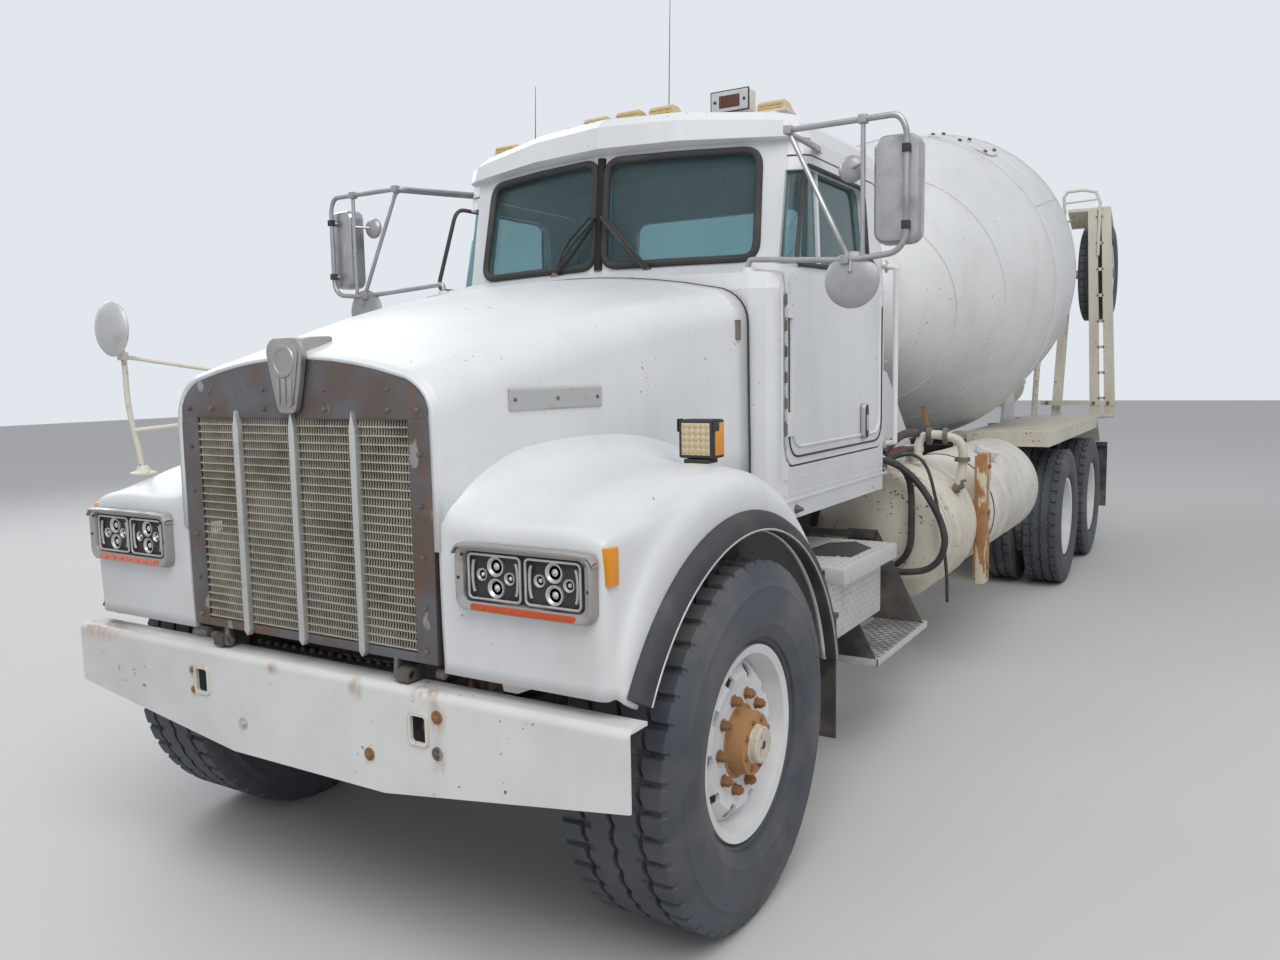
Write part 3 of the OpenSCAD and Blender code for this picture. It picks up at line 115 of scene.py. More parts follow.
# %% Daylight
world = bpy.data.worlds.new("overcast")
bpy.context.scene.world = world
world.use_nodes = True
sky = world.node_tree
sky_light = sky.nodes["Background"]
sky_light.inputs["Color"].default_value = (0.86, 0.91, 1.0, 1)
sky_light.inputs["Strength"].default_value = 0.62
seen = sky.nodes.new("ShaderNodeBackground")
seen.inputs["Color"].default_value = (0.80, 0.84, 0.90, 1)
seen.inputs["Strength"].default_value = 0.95
path = sky.nodes.new("ShaderNodeLightPath")
chosen = sky.nodes.new("ShaderNodeMixShader")
either = path.outputs["Is Camera Ray"]
for ray in ("Is Transmission Ray", "Is Glossy Ray"):
    largest = sky.nodes.new("ShaderNodeMath")
    largest.operation = "MAXIMUM"
    sky.links.new(either, largest.inputs[0])
    sky.links.new(path.outputs[ray], largest.inputs[1])
    either = largest.outputs[0]
sky.links.new(either, chosen.inputs["Fac"])
sky.links.new(sky_light.outputs[0], chosen.inputs[1])
sky.links.new(seen.outputs[0], chosen.inputs[2])
sky.links.new(chosen.outputs[0], sky.nodes["World Output"].inputs["Surface"])


def soft_lamp(name, place, target, size, watts, tint):
    lamp = bpy.data.objects.new(name, bpy.data.lights.new(name, "AREA"))
    lamp.data.size = size
    lamp.data.energy = watts
    lamp.data.color = tint
    lamp.location = place
    lamp.rotation_euler = (Vector(target) - Vector(place)).to_track_quat("-Z", "Y").to_euler()
    bpy.context.scene.collection.objects.link(lamp)


soft_lamp("high_light", at(5, -4, 11), at(0, 3, 1), 9, 960, (1.0, 0.98, 0.95))
soft_lamp("side_light", at(-9, 4, 8), at(0, 4, 1.5), 8, 420, (0.9, 0.95, 1.0))
bpy.context.scene.view_settings.view_transform = "Standard"
print("lamps and world set")

# %% [markdown]
# Finishes are node graphs. A few short helpers keep them readable: one starts
# a material, one adds a noise, one turns it into a mask, one mixes colours by
# a mask and one turns a height into bumps. All read object coordinates, which
# here are metres in the frame, so rust and dust keep their real size.

# %% Helpers for finishes
class Finish:
    def __init__(self, name, color, rough=0.5, metal=0.0, **sockets):
        self.material = bpy.data.materials.new(name)
        self.material.use_nodes = True
        self.tree = self.material.node_tree
        self.shader = self.tree.nodes["Principled BSDF"]
        self.shader.inputs["Base Color"].default_value = (*color, 1)
        self.shader.inputs["Roughness"].default_value = rough
        self.shader.inputs["Metallic"].default_value = metal
        for socket, value in sockets.items():
            self.shader.inputs[socket.replace("_", " ")].default_value = value
        self.place = self.tree.nodes.new("ShaderNodeTexCoord").outputs["Object"]
        self.color = self.constant(color)
        self.rough = rough

    def node(self, kind, **values):
        made = self.tree.nodes.new(kind)
        for key, value in values.items():
            setattr(made, key, value)
        return made

    def link(self, source, target):
        self.tree.links.new(source, target)

    def constant(self, color):
        made = self.node("ShaderNodeRGB")
        made.outputs[0].default_value = (*color, 1)
        return made.outputs[0]

    def noise(self, scale, detail=5, stretch=(1, 1, 1)):
        mapped = self.node("ShaderNodeMapping")
        mapped.inputs["Scale"].default_value = stretch
        self.link(self.place, mapped.inputs["Vector"])
        made = self.node("ShaderNodeTexNoise")
        made.inputs["Scale"].default_value = scale
        made.inputs["Detail"].default_value = detail
        self.link(mapped.outputs[0], made.inputs["Vector"])
        return made.outputs["Fac"]

    def height(self, low, high):
        """A mask that is 1 at height low and 0 at height high."""
        parts = self.node("ShaderNodeSeparateXYZ")
        self.link(self.place, parts.inputs[0])
        return self.fit(parts.outputs["Z"], low, high, 1, 0)

    def near(self, place, reach, drop=1.0):
        """A mask that is 1 at a place and fades out over the reach, longer downwards by drop."""
        offset = self.node("ShaderNodeVectorMath", operation="SUBTRACT")
        self.link(self.place, offset.inputs[0])
        offset.inputs[1].default_value = place
        shaped = self.node("ShaderNodeVectorMath", operation="MULTIPLY")
        self.link(offset.outputs[0], shaped.inputs[0])
        shaped.inputs[1].default_value = (1, 1, 1 / drop)
        length = self.node("ShaderNodeVectorMath", operation="LENGTH")
        self.link(shaped.outputs[0], length.inputs[0])
        return self.fit(length.outputs["Value"], reach, reach * 0.2)

    def fit(self, value, low, high, to_low=0, to_high=1):
        made = self.node("ShaderNodeMapRange")
        for socket, number in zip(("From Min", "From Max", "To Min", "To Max"),
            (low, high, to_low, to_high)):
            made.inputs[socket].default_value = number
        self.link(value, made.inputs["Value"])
        return made.outputs[0]

    def math(self, kind, a, b):
        made = self.node("ShaderNodeMath", operation=kind)
        for socket, value in zip(made.inputs, (a, b)):
            if isinstance(value, (int, float)):
                socket.default_value = value
            else:
                self.link(value, socket)
        return made.outputs[0]

    def cover(self, mask, color, strength=1.0):
        """Lays a second colour over what is there, by a mask."""
        made = self.node("ShaderNodeMix", data_type="RGBA")
        self.link(self.math("MULTIPLY", mask, strength), made.inputs["Factor"])
        self.link(self.color, made.inputs["A"])
        made.inputs["B"].default_value = (*color, 1)
        self.color = made.outputs["Result"]
        return self

    def bumps(self, height, strength, distance=0.002):
        made = self.node("ShaderNodeBump")
        made.inputs["Strength"].default_value = strength
        made.inputs["Distance"].default_value = distance
        self.link(height, made.inputs["Height"])
        self.link(made.outputs[0], self.shader.inputs["Normal"])
        return self

    def done(self, rough_mask=None, rough_to=0.8):
        self.link(self.color, self.shader.inputs["Base Color"])
        if rough_mask is not None:
            self.link(self.fit(rough_mask, 0, 1, self.rough, rough_to), self.shader.inputs["Roughness"])
        return self.material


print("finish helpers ready")

# %% [markdown]
# Old white truck paint is never one white. It greys in soft clouds, gathers
# brown dust low down, and is chipped to rust where stones hit it. Three masks
# from noise do this.

# %% White and cream paints
MUD, ROAD_DUST = (0.36, 0.30, 0.23), (0.42, 0.33, 0.25)
CHIPPED, RUST_RUN = (0.19, 0.09, 0.04), (0.36, 0.19, 0.08)


def aged_paint(name, color, chips, dust, grime=0.25, gloss=0.32, stains=()):
    made = Finish(name, color, gloss)
    clouds = made.fit(made.noise(1.7, 6), 0.42, 0.72)
    made.cover(clouds, [c * 0.86 for c in color], 0.8)
    streaks = made.fit(made.noise(9, 4, (1, 1, 0.12)), 0.52, 0.8)
    made.cover(streaks, MUD, grime)
    low = made.height(0.35, 1.5)
    dusty = made.math("MULTIPLY", low, made.fit(made.noise(6, 8), 0.38, 0.7))
    made.cover(dusty, ROAD_DUST, dust)
    spots = made.fit(made.noise(46, 3), 0.735 - chips, 0.75 - chips)
    few = made.fit(made.noise(3.1, 2), 0.45, 0.6)
    marks = made.math("MULTIPLY", spots, few)
    made.cover(marks, CHIPPED, 0.9)
    patchy = made.fit(made.noise(34, 6, (1, 1, 0.35)), 0.34, 0.66)
    for place, reach, drop in stains:
        made.cover(made.math("MULTIPLY", made.near(place, reach, drop), patchy), RUST_RUN, 0.85)
    made.bumps(made.noise(26, 4), 0.06, 0.004)
    return made.done(made.math("MAXIMUM", dusty, marks), 0.75)


white_paint = aged_paint("white_paint", (0.70, 0.715, 0.72), 0.02, 0.30, 0.10)
bumper_stains = [  # place, reach, how far it has run down
    (at(0.540, 0.005, 0.765), 0.040, 1.5), (at(0.537, 0.005, 0.655), 0.032, 2.2),
    (at(0.500, 0.010, 0.832), 0.085, 0.5), (at(0.277, 0.005, 0.617), 0.022, 1.4),
    (at(-0.518, 0.005, 0.750), 0.020, 1.6), (at(-0.516, 0.005, 0.685), 0.018, 1.6),
    (at(-0.130, 0.005, 0.812), 0.045, 0.5), (at(0.230, 0.005, 0.806), 0.036, 1.2),
    (at(-1.050, 0.060, 0.850), 0.200, 0.4)]
bumper_paint = aged_paint("bumper_paint", (0.70, 0.705, 0.69), 0.035, 0.22, 0.10, 0.32, bumper_stains)
drum_paint = aged_paint("drum_paint", (0.69, 0.70, 0.69), 0.03, 0.2, 0.20, 0.42)
cream_paint = aged_paint("cream_paint", (0.66, 0.62, 0.52), 0.10, 0.75, 0.45, 0.5)
tank_paint = aged_paint("tank_paint", (0.68, 0.66, 0.60), 0.07, 0.75, 0.4, 0.45)
print("five paints")

# %% [markdown]
# Under the paint a truck is dark: frame, axles and springs carry years of
# road dust. Bare steel stains brown where it was bent or welded.

# %% Dark metal, bare metal and rust
def dusty_metal(name, color, dust, metal=0.0, rough=0.6, tint=(0.36, 0.28, 0.21), spots=0.45):
    made = Finish(name, color, rough, metal)
    layer = made.fit(made.noise(7, 8), 0.36, 0.72)
    made.cover(layer, tint, dust)
    made.cover(made.fit(made.noise(22, 4), 0.6, 0.66), (0.20, 0.10, 0.05), spots)
    made.bumps(made.noise(60, 5), 0.25, 0.002)
    return made.done(layer, 0.85)


frame_paint = dusty_metal("frame_paint", (0.030, 0.033, 0.039), 0.38, spots=0.2)
iron = dusty_metal("iron", (0.10, 0.09, 0.085), 0.6, 0.3)
stained = Finish("stained_steel", (0.165, 0.170, 0.185), 0.36, 0.7)
stained.cover(stained.fit(stained.noise(5, 6), 0.42, 0.60), (0.15, 0.10, 0.075), 0.75)
stained.cover(stained.fit(stained.noise(13, 8, (1, 1, 0.5)), 0.635, 0.67), (0.50, 0.48, 0.45), 0.6)
stained.cover(stained.fit(stained.noise(22, 4), 0.6, 0.66), (0.24, 0.11, 0.05), 0.5)
stained_steel = stained.bumps(stained.noise(60, 5), 0.25, 0.002).done(stained.noise(9, 4), 0.7)
mirror_steel = dusty_metal("mirror_steel", (0.60, 0.60, 0.60), 0.07, 0.9, 0.22, (0.40, 0.36, 0.32), 0.08)
bar_metal = dusty_metal("bar_metal", (0.54, 0.55, 0.54), 0.22, 0.75, 0.3, (0.42, 0.38, 0.32), 0.12)
worn_chrome = dusty_metal("worn_chrome", (0.44, 0.43, 0.42), 0.35, 0.85, 0.25, (0.36, 0.31, 0.27), 0.15)
mesh_metal = dusty_metal("mesh_metal", (0.56, 0.53, 0.45), 0.45, 0.6, 0.38, (0.26, 0.22, 0.17), 0.15)
wire_metal = dusty_metal("wire_metal", (0.42, 0.385, 0.32), 0.45, 0.5, 0.45, (0.15, 0.12, 0.09), 0.2)
disc_metal = dusty_metal("disc_metal", (0.44, 0.44, 0.45), 0.35, 0.85, 0.25, (0.24, 0.23, 0.22), 0.1)
step_metal = dusty_metal("step_metal", (0.60, 0.61, 0.61), 0.32, 0.45, 0.4, spots=0.15)
rust = dusty_metal("rust", (0.30, 0.15, 0.06), 0.4, 0.1, 0.8, (0.15, 0.085, 0.05))
post_rust = dusty_metal("post_rust", (0.42, 0.21, 0.08), 0.5, 0.05, 0.8, (0.30, 0.19, 0.11))
peeled = Finish("peeled_post", (0.40, 0.20, 0.08), 0.8)
peeled.cover(peeled.fit(peeled.noise(16, 6), 0.4, 0.7), (0.26, 0.12, 0.05), 0.8)
flakes = peeled.fit(peeled.noise(13, 7, (1, 1, 0.45)), 0.53, 0.56)
peeled.cover(flakes, (0.62, 0.55, 0.42), 0.95)
peeled_post = peeled.bumps(flakes, 0.5, 0.003).done()
print("metals ready")

# %% [markdown]
# Rubber goes blue-grey in the sun and holds pale dust in every groove.

# %% Rubber, plastic, glass and lamps
def rubber(name, color, dust, dust_color=(0.30, 0.25, 0.21)):
    made = Finish(name, color, 0.62)
    layer = made.fit(made.noise(9, 8), 0.34, 0.74)
    made.cover(layer, dust_color, dust)
    made.cover(made.fit(made.noise(2.2, 3), 0.45, 0.7), [c * 1.9 for c in color], 0.6)
    made.cover(made.fit(made.noise(2.6, 6), 0.52, 0.68), [c * 0.9 for c in dust_color],
        min(1, dust * 1.5))
    made.bumps(made.noise(120, 4), 0.2, 0.001)
    return made.done(layer, 0.9)


tyre_rubber = rubber("tyre_rubber", (0.044, 0.053, 0.066), 0.45, (0.155, 0.150, 0.140))
flare_rubber = rubber("flare_rubber", (0.022, 0.026, 0.033), 0.18)
hose_rubber = rubber("hose_rubber", (0.018, 0.018, 0.02), 0.2)
flap_rubber = rubber("flap_rubber", (0.03, 0.03, 0.032), 0.5)
trim_plastic = rubber("trim_plastic", (0.022, 0.022, 0.024), 0.12)
red_hose = rubber("red_hose", (0.32, 0.03, 0.02), 0.2)


def clear(name, color, rough, transmission, ior=1.45):
    made = Finish(name, color, rough, Transmission_Weight=transmission, IOR=ior)
    made.cover(made.fit(made.noise(5, 6), 0.45, 0.8), [c * 0.8 for c in color], 0.5)
    made.bumps(made.noise(14, 3), 0.05, 0.002)
    return made.done()


# The glass's blue-teal is partly its own tint and partly a painted reflection of the sky.
window_glass = clear("window_glass", (0.42, 0.58, 0.60), 0.02, 0.93, 1.22)
lens_glass = clear("lens_glass", (0.86, 0.88, 0.90), 0.05, 0.85)
amber_lens = clear("amber_lens", (0.86, 0.33, 0.02), 0.28, 0.15)
pale_amber = clear("pale_amber", (0.66, 0.50, 0.25), 0.4, 0.15)
brown_lens = clear("brown_lens", (0.12, 0.045, 0.030), 0.15, 0.1)
red_lens = clear("red_lens", (0.66, 0.10, 0.02), 0.3, 0.15)
print("rubber, glass and lamp finishes")

# %% [markdown]
# Machined parts of the frame already have their true shape. They get a small
# rounded edge by modifiers and one of the finishes above.

# %% Finish of the frame's own pieces
def dress(node, material, edge=0.004):
    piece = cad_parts[node]
    piece.data.materials.clear()
    piece.data.materials.append(material)
    if edge:
        weld = piece.modifiers.new("weld", "WELD")
        weld.merge_threshold = 0.00005
        rounded = piece.modifiers.new("edge", "BEVEL")
        rounded.width = edge
        rounded.segments = 2
        rounded.limit_method = "ANGLE"
        rounded.angle_limit = math.radians(35)
        rounded.harden_normals = True


nodes_in = {
    white_paint: "cab_shell hood door_left door_right drum_pedestal roller_stand",
    bumper_paint: "front_bumper",
    drum_paint: "drum",
    tank_paint: "fuel_tank",
    cream_paint: "water_tank rear_fenders hopper rear_ladder booster_arm "
        "chute_yoke main_chute fold_chute",
    frame_paint: "chassis_frame front_axle drive_axles tie_rod",
    iron: "engine_block drum_drive knuckle_left knuckle_right roller_left roller_right",
    stained_steel: "grille",
    mirror_steel: "mirrors headlamps hood_mirror",
    step_metal: "side_steps",
    hose_rubber: "hose_outer hose_inner hose_drain",
    flare_rubber: "fender_flares",
    flap_rubber: "mud_flaps",
    trim_plastic: "radiator cab_interior",
    window_glass: "cab_glass door_glass_left door_glass_right",
    pale_amber: "lamps",
}
finish_of = {node: finish for finish, nodes in nodes_in.items() for node in nodes.split()}
smooth_nodes = ("front_bumper", "cab_glass", "door_glass_left", "door_glass_right", "drum", "roller_left",
    "roller_right")
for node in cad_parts:
    if "tyre" in node:
        dress(node, tyre_rubber, 0)
    elif "rim" in node:
        dress(node, white_paint, 0)
    else:
        dress(node, finish_of[node], 0 if node in smooth_nodes else 0.003)
print("dressed", len(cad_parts), "nodes")

# %% [markdown]
# Hoses, tubes and pressed sheet never turn a sharp corner. Blender's curves
# could draw them, but here a line is a plain list of points. One helper bends
# it through its points, one rounds its corners, and both feed any shape below.

# %% Lines that bend smoothly
def flowing(points, per=4):
    """A smooth line through the points, by centripetal Catmull-Rom."""
    points = [Vector(p) for p in points]
    line = [2 * points[0] - points[1], *points, 2 * points[-1] - points[-2]]
    result = []
    for a, b, c, d in zip(line, line[1:], line[2:], line[3:]):
        t1 = max((b - a).length, 1e-6) ** 0.5
        t2 = t1 + max((c - b).length, 1e-6) ** 0.5
        t3 = t2 + max((d - c).length, 1e-6) ** 0.5
        for k in range(per):
            t = t1 + (t2 - t1) * k / per
            ab = a.lerp(b, t / t1)
            bc = b.lerp(c, (t - t1) / (t2 - t1))
            cd = c.lerp(d, (t - t2) / (t3 - t2))
            result.append(ab.lerp(bc, t / t2).lerp(bc.lerp(cd, (t - t1) / (t3 - t1)),
                (t - t1) / (t2 - t1)))
    return result + [points[-1]]


def rounded(points, radius, per=5, closed=False):
    """The same polyline with its corners turned into arcs."""
    points = [Vector(p) for p in points]
    count = len(points)
    result = [] if closed else [points[0]]
    for i in range(count) if closed else range(1, count - 1):
        a, b, c = points[i - 1], points[i], points[(i + 1) % count]
        reach = min(radius, (a - b).length / 2.05, (c - b).length / 2.05)
        start, end = b + (a - b).normalized() * reach, b + (c - b).normalized() * reach
        for k in range(per + 1):
            t = k / per
            result.append(start.lerp(b, t).lerp(b.lerp(end, t), t))
    return result if closed else result + [points[-1]]


def circle(radius, steps, start=0.0):
    turns = [start + 2 * math.pi * k / steps for k in range(steps)]
    return [(radius * math.cos(turn), radius * math.sin(turn)) for turn in turns]


def round_rect(width, height, radius, per=4):
    """Outline of a rounded rectangle round its middle."""
    w, h = width / 2, height / 2
    corners = [(w, h, 0), (-w, h, 90), (-w, -h, 180), (w, -h, 270)]
    return [(x - math.copysign(radius, x) + radius * math.cos(math.radians(start + 90 * k / per)),
             z - math.copysign(radius, z) + radius * math.sin(math.radians(start + 90 * k / per)))
            for x, z, start in corners for k in range(per + 1)]


def side_frame(direction):
    """Two directions square to the given one."""
    forward = Vector(direction).normalized()
    helper = Vector((0, 0, 1)) if abs(forward.z) < 0.9 else Vector((1, 0, 0))
    across = forward.cross(helper).normalized()
    return across, across.cross(forward)


print("line helpers ready")

# %% [markdown]
# A truck is hundreds of plates, bars, tubes and turned parts. Modelling each as
# its own object would be slow to read and to render, so a small builder gathers
# the shapes of one assembly in a single mesh. It knows six shapes: a box with
# rounded edges, a plate cut to an outline, a rod, a bent pipe, a turned part
# and a free grid of points. A finish is given as its number in the part's list.

# %% The builder
class Part:
    def __init__(self, name, body, *finishes):
        self.name = name
        self.body = body
        self.finishes = finishes
        self.mesh = bmesh.new()

    def shape(self, points, loops, finish=0):
        made = [self.mesh.verts.new(p) for p in points]
        for loop in loops:
            self.mesh.faces.new([made[i] for i in loop]).material_index = finish
        return self

    def grid(self, rows, finish=0, around=False, ends=False):
        """Faces between rows of points. Around closes each row, ends closes the first and the last."""
        width = len(rows[0])
        span = width if around else width - 1
        loops = [(r * width + c, r * width + (c + 1) % width, (r + 1) * width + (c + 1) % width,
                 (r + 1) * width + c)
                 for r in range(len(rows) - 1) for c in range(span)]
        if ends:
            loops += [tuple(range(width)), tuple((len(rows) - 1) * width + c for c in range(width))]
        return self.shape([p for row in rows for p in row], loops, finish)

    def lathe(self, profile, center, axis, finish=0, steps=48):
        """Turns a profile of (distance along the axis, radius) about the axis."""
        across, up = side_frame(axis)
        along = Vector(axis).normalized()
        rows = []
        for reach, radius in profile:
            ring = circle(max(radius, 0.0004), steps)
            rows.append([Vector(center) + along * reach + across * a + up * b for a, b in ring])
        return self.grid(rows, finish, around=True, ends=True)

    def rod(self, a, b, radius, finish=0, sides=16):
        length = (Vector(b) - Vector(a)).length
        edge = min(radius * 0.2, length * 0.2)
        profile = [(0, radius - edge), (edge, radius), (length - edge, radius), (length, radius - edge)]
        return self.lathe(profile, a, Vector(b) - Vector(a), finish, sides)

    def pipe(self, points, radius, finish=0, sides=12):
        """Sweeps a circle along a line without twisting it."""
        points = [Vector(p) for p in points]
        across, up = side_frame(points[1] - points[0])
        rows = []
        for i, point in enumerate(points):
            forward = (points[min(i + 1, len(points) - 1)] - points[max(i - 1, 0)]).normalized()
            across = (across - forward * across.dot(forward)).normalized()
            up = across.cross(forward)
            size = radius[i] if isinstance(radius, (list, tuple)) else radius
            rows.append([point + across * a + up * b for a, b in circle(size, sides)])
        return self.grid(rows, finish, around=True, ends=True)

    def plate(self, outline, plane, low, high, finish=0, edge=0.0):
        """Extrudes an outline. Plane X takes (back, z), Y takes (x, z) and Z takes (x, back)."""
        place = {"X": lambda a, b, d: at(d, a, b), "Y": lambda a, b, d: at(a, d, b),
            "Z": lambda a, b, d: at(a, b, d)}[plane]
        shape = bmesh.new()
        ends = [[shape.verts.new(place(a, b, depth)) for a, b in outline] for depth in (low, high)]
        count = len(outline)
        shape.faces.new(ends[0])
        shape.faces.new(ends[1][::-1])
        for i in range(count):
            j = (i + 1) % count
            shape.faces.new((ends[0][i], ends[1][i], ends[1][j], ends[0][j]))
        bmesh.ops.recalc_face_normals(shape, faces=shape.faces)
        if edge:
            sharp = [e for e in shape.edges if e.calc_face_angle(0) > 0.6]
            bmesh.ops.bevel(shape, geom=sharp, offset=edge, segments=2, profile=0.6, affect="EDGES",
                clamp_overlap=True)
        return self.merge(shape, finish)

    def box(self, low, high, finish=0, edge=0.004):
        """Corners are given as (across, back, up)."""
        (x0, y0, z0), (x1, y1, z1) = low, high
        return self.plate([(x0, z0), (x1, z0), (x1, z1), (x0, z1)], "Y", y0, y1, finish, edge)

    def nut(self, place, axis, width, high, finish=0):
        """A six-sided head on its washer."""
        profile = [(0, width * 0.62), (0.003, width * 0.62), (0.003, width * 0.5), (high, width * 0.5),
            (high * 1.15, width * 0.38)]
        return self.lathe(profile, place, axis, finish, 6)

    def merge(self, shape, finish=0):
        twin = {vertex: self.mesh.verts.new(vertex.co) for vertex in shape.verts}
        for face in shape.faces:
            self.mesh.faces.new([twin[v] for v in face.verts]).material_index = finish
        shape.free()
        return self

    def mirror(self):
        """Moves everything made so far to the other side of the truck."""
        for vertex in self.mesh.verts:
            vertex.co.x *= -1

    def done(self, slot=None, both=False, smooth=34):
        """Turns the gathered shapes into one piece. Both adds the mirrored half."""
        if both:
            copy = bmesh.ops.duplicate(self.mesh,
                geom=self.mesh.verts[:] + self.mesh.edges[:] + self.mesh.faces[:])
            for item in copy["geom"]:
                if isinstance(item, bmesh.types.BMVert):
                    item.co.x *= -1
        bmesh.ops.recalc_face_normals(self.mesh, faces=self.mesh.faces)
        for face in self.mesh.faces:
            face.smooth = True
        for line in self.mesh.edges:
            line.smooth = line.calc_face_angle(0) < math.radians(smooth)
        mesh = bpy.data.meshes.new(self.name)
        self.mesh.to_mesh(mesh)
        self.mesh.free()
        for finish in self.finishes:
            mesh.materials.append(finish)
        piece = bpy.data.objects.new(self.name, mesh)
        bpy.context.scene.collection.objects.link(piece)
        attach(piece, self.body)
        print(self.name, len(mesh.polygons), "faces")
        return piece


print("builder ready")

# %% [markdown]
# Hoses are fixed lengths of something flexible. Two thick ones leave the water
# tank's valves, hang in a wide loop and come back at the frame rail. A thin one
# runs over the tank and drops free. Each is a round tube swept along the smooth
# line through chosen points.

# %% Hoses
hose_routes = {
    "outer": [(0.8303, 2.825, 1.240), (0.880, 2.825, 1.240), (0.936, 2.825, 1.219), (1.000, 2.825, 1.174),
              (1.055, 2.825, 1.113), (1.100, 2.825, 1.045), (1.135, 2.825, 0.980), (1.158, 2.825, 0.915),
              (1.165, 2.825, 0.860), (1.144, 2.825, 0.782), (1.087, 2.825, 0.726), (1.010, 2.825, 0.705),
              (0.930, 2.825, 0.700), (0.850, 2.825, 0.712), (0.770, 2.825, 0.741), (0.690, 2.825, 0.779),
              (0.615, 2.825, 0.813), (0.545, 2.825, 0.832), (0.4703, 2.825, 0.832)],
    "inner": [(0.8303, 2.865, 1.240), (0.858, 2.865, 1.240), (0.894, 2.865, 1.233), (0.928, 2.865, 1.216),
              (0.956, 2.865, 1.190), (0.976, 2.865, 1.156), (0.987, 2.865, 1.110), (0.992, 2.865, 1.050),
              (0.993, 2.865, 0.990), (0.993, 2.865, 0.920), (0.991, 2.865, 0.850), (0.979, 2.865, 0.800),
              (0.952, 2.865, 0.756), (0.913, 2.865, 0.725), (0.865, 2.865, 0.710), (0.805, 2.865, 0.714),
              (0.745, 2.865, 0.735), (0.690, 2.865, 0.762), (0.640, 2.865, 0.789), (0.585, 2.865, 0.816),
              (0.530, 2.865, 0.832), (0.4703, 2.865, 0.832)],
    "drain": [(0.8303, 2.905, 1.242), (0.860, 2.905, 1.242), (0.900, 2.903, 1.251), (0.940, 2.899, 1.264),
              (0.978, 2.895, 1.269), (1.012, 2.892, 1.258), (1.040, 2.889, 1.234), (1.062, 2.887, 1.200),
              (1.078, 2.886, 1.158), (1.091, 2.885, 1.110), (1.103, 2.885, 1.060), (1.114, 2.885, 1.010),
              (1.124, 2.885, 0.960), (1.133, 2.885, 0.910), (1.141, 2.885, 0.860), (1.148, 2.885, 0.810),
              (1.154, 2.885, 0.760), (1.159, 2.885, 0.710), (1.162, 2.885, 0.660), (1.164, 2.885, 0.610),
              (1.165, 2.885, 0.560)]}
HOSE_RADIUS = {"outer": 0.016, "inner": 0.016, "drain": 0.008}
for name, route in hose_routes.items():
    line = flowing([at(*place) for place in route], 3)
    tube = Part("tank_hose_" + name, "truck", hose_rubber)
    tube.pipe(line, HOSE_RADIUS[name], 0, 14)
    hose = tube.done("hose_rubber")
    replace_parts(hose, "hose_" + name)

# %% [markdown]
# The hood is one moulded shell: a rising top with round shoulders, and two
# fenders that grow out of its sides and carry the lamps. A moulding like this
# has no flat faces, so it is built from sections: rows of points from the nose
# to the windscreen, made smooth in both directions and given a thickness.

# %% Hood shell
HOOD_REAR = 1.45
MOULDING = 0.018
hood_levels = [  # back, height in the middle, height of the shoulder
    (0.030, 1.750, 1.690), (0.050, 1.765, 1.703), (0.120, 1.788, 1.722), (0.300, 1.850, 1.770),
    (0.560, 1.928, 1.838), (0.850, 1.988, 1.897), (1.150, 2.034, 1.948), (HOOD_REAR, 2.068, 1.990)]
SHOULDER = 0.125
ARCH_MIDDLE = Vector((0.73, 0.51))
ARCH_RADIUS = 0.700
FENDER_SIDE = 1.105


def hood_width(back):
    grown = (max(back - 0.03, 0) / (HOOD_REAR - 0.03)) ** 1.15
    return 0.560 + 0.230 * grown - (0.012 if back < 0.04 else 0)


def hood_section(back, crown, shoulder):
    width = hood_width(back)
    half = [(width, 1.22), (width, 1.40), (width - 0.002, 1.55), (width - 0.004, shoulder - SHOULDER)]
    for turn in range(12, 91, 13):
        lift = 0.00025 * max(turn - 60, 0)
        a = math.radians(turn)
        half.append((width - 0.004 - SHOULDER * (1 - math.cos(a)),
            shoulder - SHOULDER * (1 - math.sin(a)) + lift))
    for k in (0.8, 0.6, 0.4, 0.2, 0.0):
        half.append(((width - 0.004 - SHOULDER) * k, crown - (crown - shoulder - 0.008) * k * k))
    line = half + [(-x, z) for x, z in half[-2::-1]]
    return [at(x, back, z) for x, z in line]


hood = Part("hood_top", "hood", white_paint)
levels = flowing(hood_levels, 4)
hood.grid([hood_section(*level) for level in levels])
hood_shell = hood.done("white_paint", smooth=50)
skin = hood_shell.modifiers.new("skin", "SOLIDIFY")
skin.thickness = MOULDING
skin.offset = -1
seal = Part("hood_seal", "truck", trim_plastic)
seal.pipe(hood_section(HOOD_REAR + 0.005, 2.066, 1.988), 0.0055, 0, 8)
seal.done("black")
print("hood rises from", round(hood_levels[0][1], 2), "to", round(hood_levels[-1][1], 2))

# %% [markdown]
# Each fender is a strip of sections that starts at the foot of its flat face,
# climbs past the lamps, rolls over the wheel and falls to its rear foot. A
# section holds the fillet at the hood, the flat top, the edge of the lamp pod
# and the swept band round the arch.

